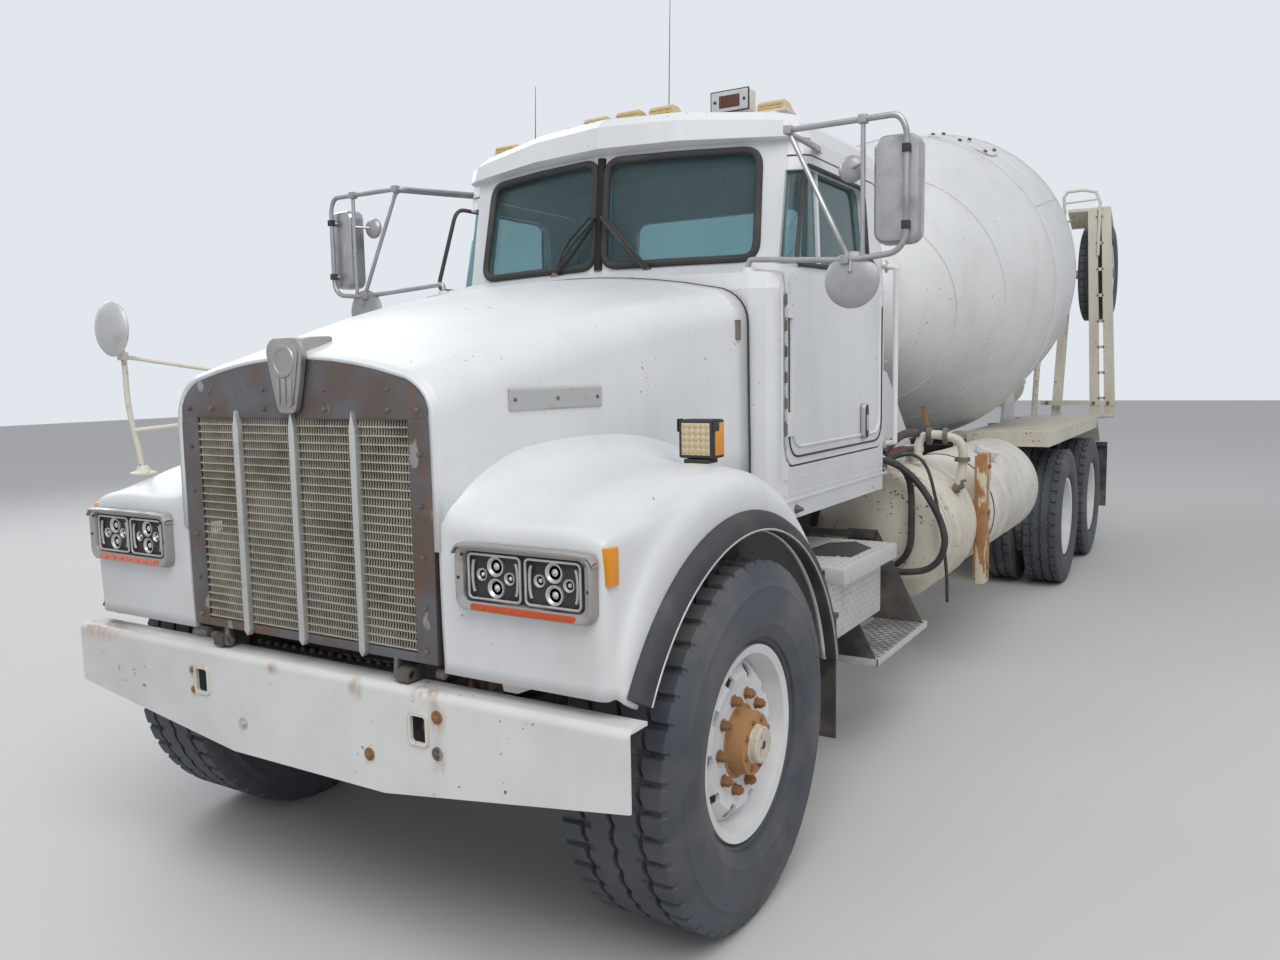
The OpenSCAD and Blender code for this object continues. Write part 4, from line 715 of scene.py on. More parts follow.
# %% Fenders
fender_levels = [  # pod: back, height; band: back, height; how far it has melted into the hood
    (0.042, 0.885, 0.060, 0.885, 0), (0.038, 1.000, 0.070, 0.985, 0), (0.036, 1.150, 0.120, 1.100, 0),
    (0.037, 1.245, 0.165, 1.165, 0.05), (0.040, 1.286, 0.190, 1.190, 0.12),
    (0.054, 1.306, 0.212, 1.210, 0.25), (0.090, 1.318, 0.240, 1.235, 0.45),
    (0.160, 1.342, 0.320, 1.285, 0.8),
    (0.300, 1.384, 0.420, 1.326, 1), (0.450, 1.406, 0.530, 1.354, 1), (0.620, 1.412, 0.660, 1.372, 1),
    (0.800, 1.404, 0.800, 1.372, 1), (0.950, 1.378, 0.930, 1.342, 1), (1.090, 1.325, 1.060, 1.288, 1),
    (1.210, 1.252, 1.170, 1.212, 1), (1.310, 1.160, 1.270, 1.118, 1), (1.390, 1.050, 1.350, 1.010, 0.8),
    (1.436, 0.920, 1.400, 0.900, 0.5), (1.440, 0.790, 1.424, 0.780, 0.3),
    (1.440, 0.650, 1.436, 0.650, 0.2)]


def arch_point(point, radius):
    return ARCH_MIDDLE + (point - ARCH_MIDDLE).normalized() * radius


def fender_section(pod_back, pod_z, band_back, band_z, melt):
    width = hood_width(max(0.05, min(pod_back, HOOD_REAR)))
    pod, band = Vector((pod_back, pod_z)), Vector((band_back, band_z))
    far = (band - ARCH_MIDDLE).length - ARCH_RADIUS
    edge, lip = arch_point(band, ARCH_RADIUS), arch_point(band, ARCH_RADIUS + min(0.06, far * 0.6))
    points = [
        (width - 0.020, pod + Vector((0, 0.130 * melt))),
        (width + 0.016, pod + Vector((0, 0.055 * melt))),
        (width + 0.070, pod + Vector((0, 0.014 * melt))), ((width + 1.010) / 2, pod), (0.930, pod),
        (1.010, pod * (1 - melt / 4) + band * melt / 4),
        (1.046, pod * (1 - melt / 2) + band * melt / 2),
        (1.066, pod * (1 - melt * 0.8) + band * melt * 0.8 + Vector((0.010 * (1 - melt), 0))),
        (1.080, band + Vector((0, 0.006 * (1 - melt)))), (1.097, band * 0.75 + lip * 0.25),
        (FENDER_SIDE, band * 0.3 + lip * 0.7), (FENDER_SIDE, edge)]
    return [at(x, p.x, p.y) for x, p in points]


fenders = Part("fenders", "hood", white_paint)
lines = [flowing(line, 3) for line in zip(*[fender_section(*level) for level in fender_levels])]
fenders.grid([flowing(row, 3) for row in zip(*lines)])
fender_shell = fenders.done("white_paint", both=True, smooth=50)
for half in (-1, 1):
    faces = [face for face in fender_shell.data.polygons if face.center.x * half > 0]
    lamp_face = min(faces, key=lambda face: (face.center - at(half * 0.8, 0.03, 1.1)).length)
    if lamp_face.normal.y > 0:
        for face in faces:
            face.flip()
skin = fender_shell.modifiers.new("skin", "SOLIDIFY")
skin.thickness = MOULDING
skin.offset = -1
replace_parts(hood_shell, "hood")
print("fender sections", len(fender_levels))

# %% [markdown]
# The arches end in black rubber flares, held by a row of rivets. A flare is a
# bent strip, so a profile is swept round the arch and cut off at its feet.

# %% Rubber flares and their bright bead
flare_start = math.atan2(0.655 - ARCH_MIDDLE.y, 1.43 - ARCH_MIDDLE.x)
flare_end = math.atan2(0.895 - ARCH_MIDDLE.y, 0.066 - ARCH_MIDDLE.x)
flare_profile = [(0.001, 0.001), (0.063, 0.001), (0.062, 0.010), (0.053, 0.026), (0.039, 0.038),
    (0.022, 0.043), (0.008, 0.0435), (0.001, 0.036)]
flare = Part("rubber_flares", "hood", flare_rubber, bar_metal)
rows, beads = [], []
for k in range(73):
    turn = flare_start + (flare_end - flare_start) * k / 72
    way = Vector((math.cos(turn), math.sin(turn)))
    row = []
    for reach, out in flare_profile:
        place = ARCH_MIDDLE + way * (ARCH_RADIUS + reach)
        row.append(at(FENDER_SIDE + out, place.x, place.y))
    rows.append(row)
    place = ARCH_MIDDLE + way * (ARCH_RADIUS + 0.006)
    beads.append(at(FENDER_SIDE + 0.0425, place.x, place.y))
flare.grid(rows, around=True, ends=True)
flare.pipe(beads, 0.0035, 1, 8)
flare_piece = flare.done("flare_rubber", both=True)
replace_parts(flare_piece, "fender_flares")
print("flare turns", round(math.degrees(flare_end - flare_start)), "degrees")

# %% [markdown]
# The grille's frame is stained steel: two posts, a sill, and a top that
# follows the hood's own curve. It is cut from the hood's section, so that the
# two always meet, and small bolts hold it.

# %% Grille frame
GRILLE_X, GRILLE_LOW, GRILLE_HIGH = 0.450, 0.930, 1.570
grille = Part("grille_frame", "hood", stained_steel, iron)
strips = [
    [(GRILLE_X, 0.905), (0.524, 0.905), (0.532, 1.573), (GRILLE_X, 1.573)],
    [(-GRILLE_X, 0.905), (-0.524, 0.905), (-0.532, 1.573), (-GRILLE_X, 1.573)],
    [(-GRILLE_X, 0.905), (GRILLE_X, 0.905), (GRILLE_X, 0.932), (-GRILLE_X, 0.932)]]
for strip in strips:
    grille.plate(strip, "Y", 0.033, 0.058, 0, 0.002)
top = [(p.x * 0.958, p.z) for p in hood_section(0.05, 1.743, 1.681) if p.z > 1.571]
grille.plate([(0.533, 1.572)] + top + [(-0.533, 1.572)], "Y", 0.033, 0.058, 0, 0.002)
for x in (-0.487, 0.487):
    for z in (0.94, 1.06, 1.20, 1.34, 1.48, 1.60):
        grille.nut(at(x, 0.0335, z), (0, -1, 0), 0.013, 0.006, 1)
for x in (-0.38, -0.13, 0.13, 0.38):
    grille.nut(at(x, 0.0335, 1.60), (0, -1, 0), 0.013, 0.006, 1)
    grille.nut(at(x, 0.0335, 1.655), (0, -1, 0), 0.009, 0.004, 1)
for side in (-1, 1):
    ear = [(0.032, 0.913), (0.058, 0.913), (0.054, 0.852), (0.046, 0.847), (0.034, 0.847), (0.026, 0.852)]
    grille.plate(ear, "X", side * 0.362, side * 0.376, 0, 0.001)
    grille.rod(at(side * 0.363, 0.040, 0.862), at(side * 0.402, 0.040, 0.862), 0.013, 1)
grille_piece = grille.done("steel")
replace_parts(grille_piece, "grille")
print("grille opening", 2 * GRILLE_X, "wide and", round(GRILLE_HIGH - GRILLE_LOW, 3), "high")

# %% [markdown]
# The mesh could be a picture on a plane, but it has to hold up close by. It is
# real wire: level slats in front, and upright wires behind them that swell
# forward between the slats. Dark fins of the radiator show through it.

# %% Woven mesh
mesh = Part("grille_mesh", "hood", mesh_metal, wire_metal)
SLAT_STEP, WIRE_STEP = 0.0245, 0.0105
slats = int((GRILLE_HIGH - GRILLE_LOW) / SLAT_STEP)
for k in range(slats + 1):
    z = GRILLE_LOW + 0.006 + k * SLAT_STEP
    mesh.plate([(0.0395, z + 0.0008), (0.0420, z + 0.003), (0.0395, z + 0.0052), (0.0340, z + 0.0046),
        (0.0340, z + 0.0014)], "X", -GRILLE_X, GRILLE_X)
wires = int(2 * GRILLE_X / WIRE_STEP)
for k in range(wires):
    x = -GRILLE_X + (k + 0.5) * WIRE_STEP
    weave = []
    for j in range(slats + 2):
        z = GRILLE_LOW + 0.0095 + (j - 0.5) * SLAT_STEP
        weave += [at(x, 0.0440, z), at(x, 0.0400, z + SLAT_STEP / 2)]
    mesh.pipe(weave, 0.0030, 1, 4)
mesh.done("steel", smooth=60)
backing = Part("radiator_core", "truck", trim_plastic)
for k in range(90):
    x = -0.445 + k * 0.01
    backing.plate([(x, 0.96), (x + 0.004, 0.96), (x + 0.004, 1.56), (x, 1.56)], "Y", 0.0975, 0.1085)
backing.done("black")
print("mesh of", slats + 1, "slats and", wires, "wires")

# %% [markdown]
# Three pale bars with pointed ends stand in front of the mesh, and a plain
# shield sits on the hood's nose. Each bar is a flat plate with a folded ridge,
# and the shield is thin plates stacked on each other, as a casting would step.

# %% Bars and shield
bars = Part("grille_bars", "hood", bar_metal)
for x in (-0.25, 0.0, 0.25):
    tapered = [(x - 0.012, 0.915), (x, 0.898), (x + 0.012, 0.915), (x + 0.012, 1.545), (x, 1.595),
        (x - 0.012, 1.545)]
    bars.plate(tapered, "Y", 0.0185, 0.039, 0, 0.001)
    ridge = [[at(x + across, back, z)
        for across, back in ((-0.012, 0.0185), (0, 0.0095), (0.012, 0.0185))] for z in (0.915, 1.545)]
    bars.grid([[at(x, 0.0185, 0.898)] * 3] + ridge + [[at(x, 0.0185, 1.595)] * 3], 0)
bars.done("steel")
shield = Part("hood_shield", "hood", worn_chrome)
outline = rounded([(-0.036, 0), (0.036, 0), (0.055, 0.07), (0.080, 0.185), (0.055, 0.217),
    (-0.055, 0.217), (-0.080, 0.185), (-0.055, 0.07)], 0.02, 4, closed=True)
outline = [(v.x, v.y + 1.588) for v in [Vector((*p[:2], 0)) for p in outline]]
shield.plate(outline, "Y", 0.008, 0.0275, 0, 0.004)
inner = [(x * 0.78, 1.70 + (z - 1.70) * 0.84) for x, z in outline]
shield.plate(inner, "Y", 0.0035, 0.008, 0, 0.003)
for x in (-0.026, 0.0, 0.026):
    shield.plate([(x - 0.006, 1.612), (x + 0.006, 1.612), (x + 0.009, 1.69), (x - 0.009, 1.69)],
        "Y", 0.0005, 0.0036, 0, 0.001)
shield.lathe([(0, 0.048), (0.004, 0.046), (0.004, 0.036), (0.0015, 0.034), (0.0015, 0.001)],
    at(0, 0.0040, 1.738), (0, -1, 0), 0, 40)
shield.plate([(0.028, 1.722), (0.155, 1.800), (0.150, 1.812), (0.075, 1.809), (0.028, 1.80)],
    "X", -0.046, 0.046, 0, 0.008)
shield.done("steel")
print("three pointed bars and a plain shield")

# %% [markdown]
# The lamps sit in deep bezels: a worn shell with a brow over it, two square
# lamps with four bowls each, and an orange strip underneath. The amber marker
# sits on the outer side of the pod. Rings of points make the bezel's soft rim.

# %% Headlamps
lamp_set = Part("headlamps_set", "hood", worn_chrome, trim_plastic, red_lens, amber_lens, bar_metal,
    mirror_steel)
LAMP_X, LAMP_Z, FACE = 0.835, 1.165, 0.0357


def ring_of(width, height, radius, back, lift=0.0, per=5):
    return [at(LAMP_X + x, back, LAMP_Z + lift + z) for x, z in round_rect(width, height, radius, per)]


shell = [ring_of(0.435, 0.178, 0.036, FACE), ring_of(0.437, 0.180, 0.036, 0.026),
         ring_of(0.428, 0.170, 0.033, 0.008, 0.001),
         ring_of(0.418, 0.160, 0.031, 0.0062, 0.001), ring_of(0.385, 0.134, 0.022, 0.014, 0.006),
         ring_of(0.372, 0.126, 0.018, 0.0335, 0.006)]
lamp_set.grid(shell, 0, around=True)
brow = [[at(LAMP_X + s * 0.222, b, LAMP_Z + z) for s in (-1, -0.94, -0.6, 0, 0.6, 0.94, 1)] for b, z in
        ((0.034, 0.093), (0.010, 0.0935), (0.002, 0.090), (0.003, 0.084), (0.012, 0.083), (0.034, 0.083))]
for row in brow:
    row[0].z -= 0.022
    row[-1].z -= 0.022
    row[1].z -= 0.004
    row[-2].z -= 0.004
lamp_set.grid(brow, 0)
lamp_set.plate([(LAMP_X + x, LAMP_Z + 0.006 + z) for x, z in round_rect(0.374, 0.128, 0.018)],
    "Y", 0.030, 0.0352, 1)
for x in (-0.0925, 0.0925):
    middle = LAMP_X + x
    frame_line = [(middle + a, LAMP_Z + 0.006 + b) for a, b in round_rect(0.168, 0.116, 0.012)]
    lamp_set.pipe([at(a, 0.0195, b) for a, b in frame_line + frame_line[:2]], 0.0035, 4, 8)
    for a, b, r in ((0.0, 0.028, 0.027), (0.0, -0.029, 0.027), (-0.045, 0.004, 0.017),
        (0.045, 0.0, 0.017)):
        eye = at(middle + a, 0.030, LAMP_Z + 0.006 + b)
        lamp_set.lathe([(0, r), (0.006, r * 0.97), (0.006, r * 0.84), (-0.003, r * 0.55),
            (0.001, r * 0.30), (0.006, 0.001)], eye, (0, -1, 0), 5, 24)
    for side in (-1, 1):
        brackets = [at(middle + side * (0.066 + 0.008 * math.cos(t)),
            0.0235, LAMP_Z + 0.006 + 0.042 * math.sin(t)) for t in [-1.4 + 0.28 * k for k in range(11)]]
        lamp_set.pipe(brackets, 0.0042, 4, 8)
lamp_set.plate([(LAMP_X + x, LAMP_Z - 0.073 + z) for x, z in round_rect(0.330, 0.017, 0.006)],
    "Y", 0.0058, 0.012, 2, 0.002)
for k in range(7):
    x = LAMP_X - 0.135 + 0.045 * k
    lamp_set.plate([(x - 0.0165, LAMP_Z - 0.079), (x + 0.0165, LAMP_Z - 0.079),
        (x + 0.0165, LAMP_Z - 0.067), (x - 0.0165, LAMP_Z - 0.067)], "Y", 0.0042, 0.0060, 2, 0.001)
for a, b in ((-0.205, 0.0), (0.205, 0.0), (-0.19, 0.062), (0.19, 0.062)):
    lamp_set.nut(at(LAMP_X + a, 0.010, LAMP_Z + b), (0, -1, 0), 0.008, 0.003, 1)
lamp_set.plate([(0.046, 1.173), (0.086, 1.173), (0.086, 1.268), (0.046, 1.268)],
    "X", 1.058, 1.081, 3, 0.003)
lamps_piece = lamp_set.done("steel", both=True)
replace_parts(lamps_piece, "headlamps")
print("lamps", LAMP_X, "from the middle and", LAMP_Z, "up")

# %% [markdown]
# Tyres make or break a truck. A real tread is blocks of rubber between zigzag
# grooves, cut through by slots at the shoulders. The tread is one grid of
# points: the rows follow the zigzag and the columns come in groups of five per
# block, so that each groove has steep walls without cutting any mesh.

# %% Tyre
BLOCK = ((0.00, 0), (0.07, 1), (0.24, 1), (0.31, 0), (0.66, 0))  # part of a block, and slot or not


def tyre_rows(radius, width):
    """Rows from the outer bead to the middle: offset, radius, groove, slot and zigzag shares."""
    bead = 0.286
    h = radius - bead
    side = [(0.360, 0.0), (0.360, 0.07), (0.395, 0.10), (0.400, 0.13), (0.425, 0.135), (0.450, 0.20),
            (0.478, 0.28), (0.482, 0.295), (0.480, 0.31), (0.496, 0.40), (0.500, 0.48), (0.495, 0.60),
            (0.487, 0.70), (0.490, 0.715), (0.480, 0.73), (0.466, 0.80)]
    rows = [(share * width, bead + rise * h, 0, 0, 0) for share, rise in side]
    rows += [(0.462 * width, radius - 0.155 * h, 0, 0.0, 0),
             (0.460 * width, radius - 0.145 * h, 0, 0.12, 0),
             (0.437 * width, radius - 0.055 * h, 0, 0.28, 0),
             (0.405 * width, radius - 0.006 * h, 0, 0.6, 0)]
    crown = radius - 0.002
    for share in (0.235, 0.0):
        middle = share * width
        half, slope = 0.0065, 0.0022
        if share:
            rows += [(middle + 0.05 * width, crown, 0, 1, 0.3), (middle + half + slope, crown, 0, 1, 1)]
            rows += [(middle + half, crown, 1, 1, 1), (middle - half, crown, 1, 1, 1),
                (middle - half - slope, crown, 0, 0.55, 1)]
            rows += [(middle - 0.045 * width, crown, 0, 0.55, 0.6),
                (middle - 0.075 * width, crown, 0, 0, 0.3), (middle - 0.14 * width, crown, 0, 0, 0.6)]
        else:
            rows += [(half + slope, crown, 0, 0, 1), (half, crown, 1, 0, 1), (-half, crown, 1, 0, 1)]
    mirrored = [(-offset, r, g, s, -z) for offset, r, g, s, z in rows[-4::-1]]
    rows = rows[:-1] + [(-half, crown, 1, 0, 1), (-half - slope, crown, 0, 0, 1)] + mirrored
    return rows


def tyre(part, center, radius, width, blocks, deep, zig):
    """A tread of so many blocks round, its grooves that deep and swinging by zig."""
    rows = []
    for offset, r, groove, slot_share, wave in tyre_rows(radius, width):
        ring = []
        for block in range(blocks):
            for share, cut in BLOCK:
                turn = 2 * math.pi * (block + share) / blocks
                swing = abs((block + share) % 1 - 0.5) * 4 - 1
                depth = max(groove, slot_share * cut) * deep
                ring.append(Vector(center) + Vector((offset + abs(wave) * zig * swing,
                    (r - depth) * math.cos(turn), (r - depth) * math.sin(turn))))
        rows.append(ring)
    part.grid(rows, around=True)


print("a tread block has", len(BLOCK), "columns of points")

# %% [markdown]
# A disc wheel is bolted to its hub by ten nuts. These have gone to rust, with
# a rusty flange and a pale grease cap in the middle. The rims are the frame's
# own, so a loop only sets a tread and a turned hub in the middle of each.

# %% Wheel fittings
BOLT_CIRCLE = 0.145


def nuts_on(part, center, out, reach):
    """Ten wheel nuts on washers, so far out from the wheel's middle."""
    for a, b in circle(BOLT_CIRCLE, 10):
        place = center + Vector((out * reach, a, b))
        part.nut(place, (out, 0, 0), 0.032, 0.022)
        part.lathe([(0, 0.010), (0.029, 0.010), (0.031, 0.007)], place, (out, 0, 0), 0, 10)


def middle_of(node):
    low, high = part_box(node)
    return (low + high) / 2


for side, name in ((1, "left"), (-1, "right")):
    center = middle_of("front_tyre_" + name)
    tread = Part("front_tread_" + name, "front_wheel_" + name, tyre_rubber)
    tyre(tread, center, radius=0.5595, width=0.390, blocks=46, deep=0.017, zig=0.009)
    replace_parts(tread.done("tyre", smooth=30), "front_tyre_" + name)
    hub = Part("front_hub_" + name, "front_wheel_" + name, rust, cream_paint, post_rust, trim_plastic)
    nuts_on(hub, center, side, 0.119)
    hub.lathe([(0.100, 0.116), (0.118, 0.114), (0.121, 0.101), (0.150, 0.097), (0.171, 0.0945),
        (0.1725, 0.090)], center, (side, 0, 0), 2, 48)
    for a, b in circle(0.076, 8, 0.3):
        hub.nut(center + Vector((side * 0.1725, a, b)), (side, 0, 0), 0.014, 0.007, 0)
    hub.lathe([(0.1722, 0.060), (0.176, 0.056), (0.1935, 0.0555), (0.1985, 0.051), (0.2000, 0.040),
        (0.2000, 0.016), (0.1975, 0.013), (0.1975, 0.001)], center, (side, 0, 0), 1, 40)
    hub.lathe([(0.1972, 0.014), (0.1990, 0.012), (0.1992, 0.001)], center, (side, 0, 0), 3, 16)
    hub.done("iron")
for side, name in ((1, "left"), (-1, "right")):
    for row in ("1", "2"):
        label = name + "_" + row
        center = middle_of("drive_tyres_" + label)
        tread = Part("drive_tread_" + label, "drive_wheels_" + label, tyre_rubber)
        for shift in (-0.165, 0.165):
            tyre(tread, center + Vector((shift, 0, 0)), radius=0.5195, width=0.275, blocks=38, deep=0.015,
                zig=0.006)
        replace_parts(tread.done("tyre", smooth=30), "drive_tyres_" + label)
        hub = Part("drive_hub_" + label, "drive_wheels_" + label, rust, cream_paint)
        nuts_on(hub, center, side, 0.016)
        hub.lathe([(0.02, 0.108), (0.06, 0.105), (0.064, 0.092), (0.120, 0.090), (0.128, 0.084)],
            center, (side, 0, 0), 1, 40)
        hub.lathe([(0.128, 0.080), (0.140, 0.080), (0.142, 0.066), (0.168, 0.062), (0.171, 0.052)],
            center, (side, 0, 0), 1, 40)
        for a, b in circle(0.070, 8):
            hub.nut(center + Vector((side * 0.1405, a, b)), (side, 0, 0), 0.016, 0.009, 0)
        hub.done("iron")
    center = middle_of("booster_tyre_" + name)
    tread = Part("booster_tread_" + name, "booster_wheel_" + name, tyre_rubber)
    tyre(tread, center, radius=0.4795, width=0.280, blocks=38, deep=0.014, zig=0.006)
    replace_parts(tread.done("tyre", smooth=30), "booster_tyre_" + name)
    hub = Part("booster_hub_" + name, "booster_wheel_" + name, rust)
    nuts_on(hub, center, side, 0.071)
    hub.lathe([(0.06, 0.095), (0.10, 0.092), (0.104, 0.078), (0.138, 0.070), (0.142, 0.055)],
        center, (side, 0, 0), 0, 40)
    hub.done("iron")
print("treads and hubs on all wheels")

# %% [markdown]
# The cab is riveted sheet with a split windscreen in black rubber. The frame
# already has the walls, so only what is fixed to them is made here. The glass
# lies on a bent surface: one function gives its depth for any point.

# %% Windscreen rubber
SCREEN_LOW, SCREEN_HIGH = 2.105, 2.590


def screen_back(x, z):
    """How far back the cab's front lies at that place."""
    t = (z - SCREEN_LOW) / (SCREEN_HIGH - SCREEN_LOW)
    middle, corner = 1.655 + 0.053 * t, 1.745 + 0.091 * t
    reach, x = 0.720 - 0.015 * t, abs(x)
    half = middle + (corner - middle) * 0.32
    if x < reach / 2:
        return middle + (half - middle) * x / (reach / 2)
    return half + (corner - half) * (x - reach / 2) / (reach / 2)


screen = Part("screen_rubber", "truck", trim_plastic)
corners = [(0.025, 2.135), (0.690, 2.130), (0.672, 2.560), (0.025, 2.575)]
loop = rounded([Vector((x, 0, z)) for x, z in corners], 0.065, 6, closed=True)
full = []
for a, b in zip(loop, loop[1:] + loop[:1]):
    steps = max(1, int((b - a).length / 0.08))
    full += [a.lerp(b, k / steps) for k in range(steps)]
ring = [at(p.x, screen_back(p.x, p.z) - 0.002, p.z) for p in full]
screen.pipe(ring + ring[:2], 0.0165, 0, 10)
for z0, z1 in ((2.12, 2.36), (2.36, 2.585)):
    screen.pipe([at(0.0, screen_back(0, z0) - 0.002, z0), at(0.0, screen_back(0, z1) - 0.002, z1)],
        0.019, 0, 12)
screen.done("trim", both=True)
print("windscreen rubber runs through", len(ring), "places")

# %% [markdown]
# Two wipers lie parked against the middle post. Each is a pivot, an arm of two
# thin rods and a blade. The blade's points take their depth from the glass, so
# it follows the bend however the arm is placed.

# %% Wipers
wipers = Part("wipers", "truck", trim_plastic, iron)
wiper_lines = (
    ((-0.218, 2.105), (-0.139, 2.215), (-0.020, 2.330)),
    ((0.253, 2.090), (0.150, 2.200), (0.034, 2.326)))
for places in wiper_lines:
    pivot, knee, tip = [at(x, screen_back(x, z) - 0.030, z) for x, z in places]
    wipers.lathe([(-0.012, 0.020), (0.004, 0.019), (0.014, 0.012)], pivot, (0, -1, 0.1), 1, 20)
    proud = Vector((0, -0.022, 0.004))
    for shift in (-0.008, 0.008):
        arm = [pivot, knee + proud + Vector((shift, 0, -shift)),
            tip + proud * 0.6 + Vector((shift, 0, -shift))]
        wipers.pipe(flowing(arm, 5), 0.0058, 0, 8)
    along = (tip - pivot).normalized()
    blade = [tip - along * 0.44 + Vector((0, 0.012, 0.020)),
        tip - along * 0.2 + Vector((0, 0.010, 0.004)), tip + Vector((0, 0.012, 0))]
    blade = [Vector((p.x, at(0, screen_back(p.x, p.z) - 0.012, 0).y, p.z)) for p in blade]
    wipers.pipe(flowing(blade, 6), 0.0085, 0, 8)
    wipers.pipe([tip + proud * 0.6, tip + along * 0.012, tip + Vector((0, 0.012, 0))], 0.006, 0, 8)
wipers.done("trim")
print(len(wiper_lines), "wipers")

# %% [markdown]
# Roof lamps are amber caps with a grid of lenses, each on a pad. Beside them
# sit a square box lamp, a small dome and two whip aerials.

# %% Roof lamps
ROOF_LAMPS = ((-0.68, 2.722), (-0.17, 2.776), (0.0, 2.780), (0.17, 2.776), (0.68, 2.722))
LAMP_BACK = 1.96
roof = Part("roof_lamps", "truck", pale_amber, trim_plastic, cream_paint, iron, red_lens, mirror_steel,
    brown_lens)
for x, z in ROOF_LAMPS:
    roof.box((x - 0.066, LAMP_BACK - 0.060, z), (x + 0.066, LAMP_BACK + 0.060, z + 0.008), 2, 0.003)
    cap = [[at(x + a * 0.060, LAMP_BACK + b, z + h) for a in (-1, -0.9, 0, 0.9, 1)]
        for b, h in ((-0.054, 0.008), (-0.050, 0.038), (-0.038, 0.047), (0.010, 0.044), (0.048, 0.020),
            (0.056, 0.008))]
    for row in cap:
        row[0].z = max(z + 0.008, row[0].z - 0.008)
        row[-1].z = max(z + 0.008, row[-1].z - 0.008)
    roof.grid(cap)
    for end in (0, -1):
        roof.shape([row[end] for row in cap], [tuple(range(len(cap)))])
    for k in range(3):
        for j in range(2):
            mid_x, mid_z = x - 0.036 + 0.036 * k, z + 0.017 + 0.013 * j
            roof.box((mid_x - 0.014, LAMP_BACK - 0.0555, mid_z - 0.004),
                (mid_x + 0.014, LAMP_BACK - 0.048, mid_z + 0.006), 0, 0.001)
BOX_X, BOX_Z = 0.465, 2.812
roof.box((BOX_X - 0.086, 1.976, BOX_Z - 0.042), (BOX_X + 0.086, 2.050, BOX_Z + 0.042), 2, 0.005)
roof.box((BOX_X - 0.090, 1.974, BOX_Z - 0.046), (BOX_X + 0.090, 1.980, BOX_Z + 0.046), 1, 0.003)
roof.box((BOX_X - 0.085, 1.9725, BOX_Z - 0.041), (BOX_X + 0.085, 1.979, BOX_Z + 0.041), 5, 0.003)
roof.box((BOX_X - 0.047, 1.9690, BOX_Z - 0.027), (BOX_X + 0.047, 1.9735, BOX_Z + 0.023), 6, 0.001)
for k in range(5):
    roof.box((BOX_X - 0.043 + 0.018 * k, 1.9672, BOX_Z - 0.024),
        (BOX_X - 0.030 + 0.018 * k, 1.9695, BOX_Z + 0.020), 6, 0.001)
for x in (BOX_X - 0.068, BOX_X + 0.068):
    roof.nut(at(x, 1.9725, BOX_Z), (0, -1, 0), 0.011, 0.004, 1)
roof.rod(at(BOX_X, 2.02, 2.7505), at(BOX_X, 2.02, BOX_Z - 0.040), 0.020, 3)
for x in (-0.3, -0.18, 0.18, 0.3):
    roof.lathe([(0, 0.050), (0.012, 0.050), (0.014, 0.044), (0.030, 0.042), (0.037, 0.030),
        (0.040, 0.001)], at(x, 8.8503, 0.945), (0, 1, 0), 4, 32)
roof_piece = roof.done("lamp_amber")
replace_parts(roof_piece, "lamps")
aerials = Part("aerials", "truck", cream_paint, trim_plastic)
aerials.lathe([(0, 0.050), (0.018, 0.049), (0.040, 0.038), (0.056, 0.018), (0.060, 0.001)],
    at(-0.37, 2.00, 2.762), (0, 0, 1), 0, 32)
for x, back, z, high in ((0.10, 2.10, 2.765, 0.78), (-0.56, 1.985, 2.735, 0.30)):
    aerials.lathe([(0, 0.016), (0.02, 0.014), (0.035, 0.006), (0.05, 0.0022), (high, 0.0012)],
        at(x, back, z), (0, 0.05, 1), 1, 10)
aerials.done("trim")
print(len(ROOF_LAMPS), "roof lamps, a box lamp, a dome and two aerials")

# %% [markdown]
# Doors are pressed sheet: a raised bead runs round the lower panel, rivets
# hold the skirt under it, and the handle is a small lever in a dark cup. Seals
# and beads are pipes along rounded lines, the same on both sides.

# %% Door beads, hinges and rivets
SIDE = 0.900
for side, body in ((1, "door_left"), (-1, "door_right")):
    trim = Part("door_trim_" + body[5:], body, white_paint, trim_plastic, bar_metal)
    edge = rounded([Vector(at(SIDE + 0.001, back, z))
        for back, z in ((1.600, 2.020), (1.600, 1.395), (2.640, 1.395), (2.640, 2.020))], 0.09, 6)
    trim.pipe(edge, 0.0065, 0, 8)
    trim.pipe([p + Vector((0, 0, -0.028)) for p in rounded([at(SIDE + 0.001, b, z)
        for b, z in ((1.570, 2.000), (1.570, 1.385), (2.668, 1.385), (2.668, 2.000))], 0.10, 6)],
        0.0042, 1, 8)
    window = rounded([at(SIDE - 0.018 * (z > 2.3) - 0.002, back, z)
        for back, z in ((1.645, 2.085), (2.485, 2.115), (2.455, 2.475), (1.778, 2.475))],
        0.06, 6, closed=True)
    trim.pipe(window + window[:2], 0.0095, 1, 8)
    trim.plate([(b + 2.40, z + 1.455) for b, z in round_rect(0.052, 0.158, 0.022)],
        "X", SIDE + 0.004, SIDE + 0.0235, 2, 0.003)
    trim.plate([(b + 2.40, z + 1.455) for b, z in round_rect(0.043, 0.146, 0.018)],
        "X", SIDE + 0.022, SIDE + 0.0250, 1, 0.001)
    trim.plate([(b + 2.40, z + 1.448) for b, z in round_rect(0.020, 0.072, 0.009)],
        "X", SIDE + 0.024, SIDE + 0.0285, 2, 0.002)
    if side < 0:
        trim.mirror()
    trim.done("white_paint")
skirt = Part("skirt_rivets", "truck", white_paint, bar_metal, iron)
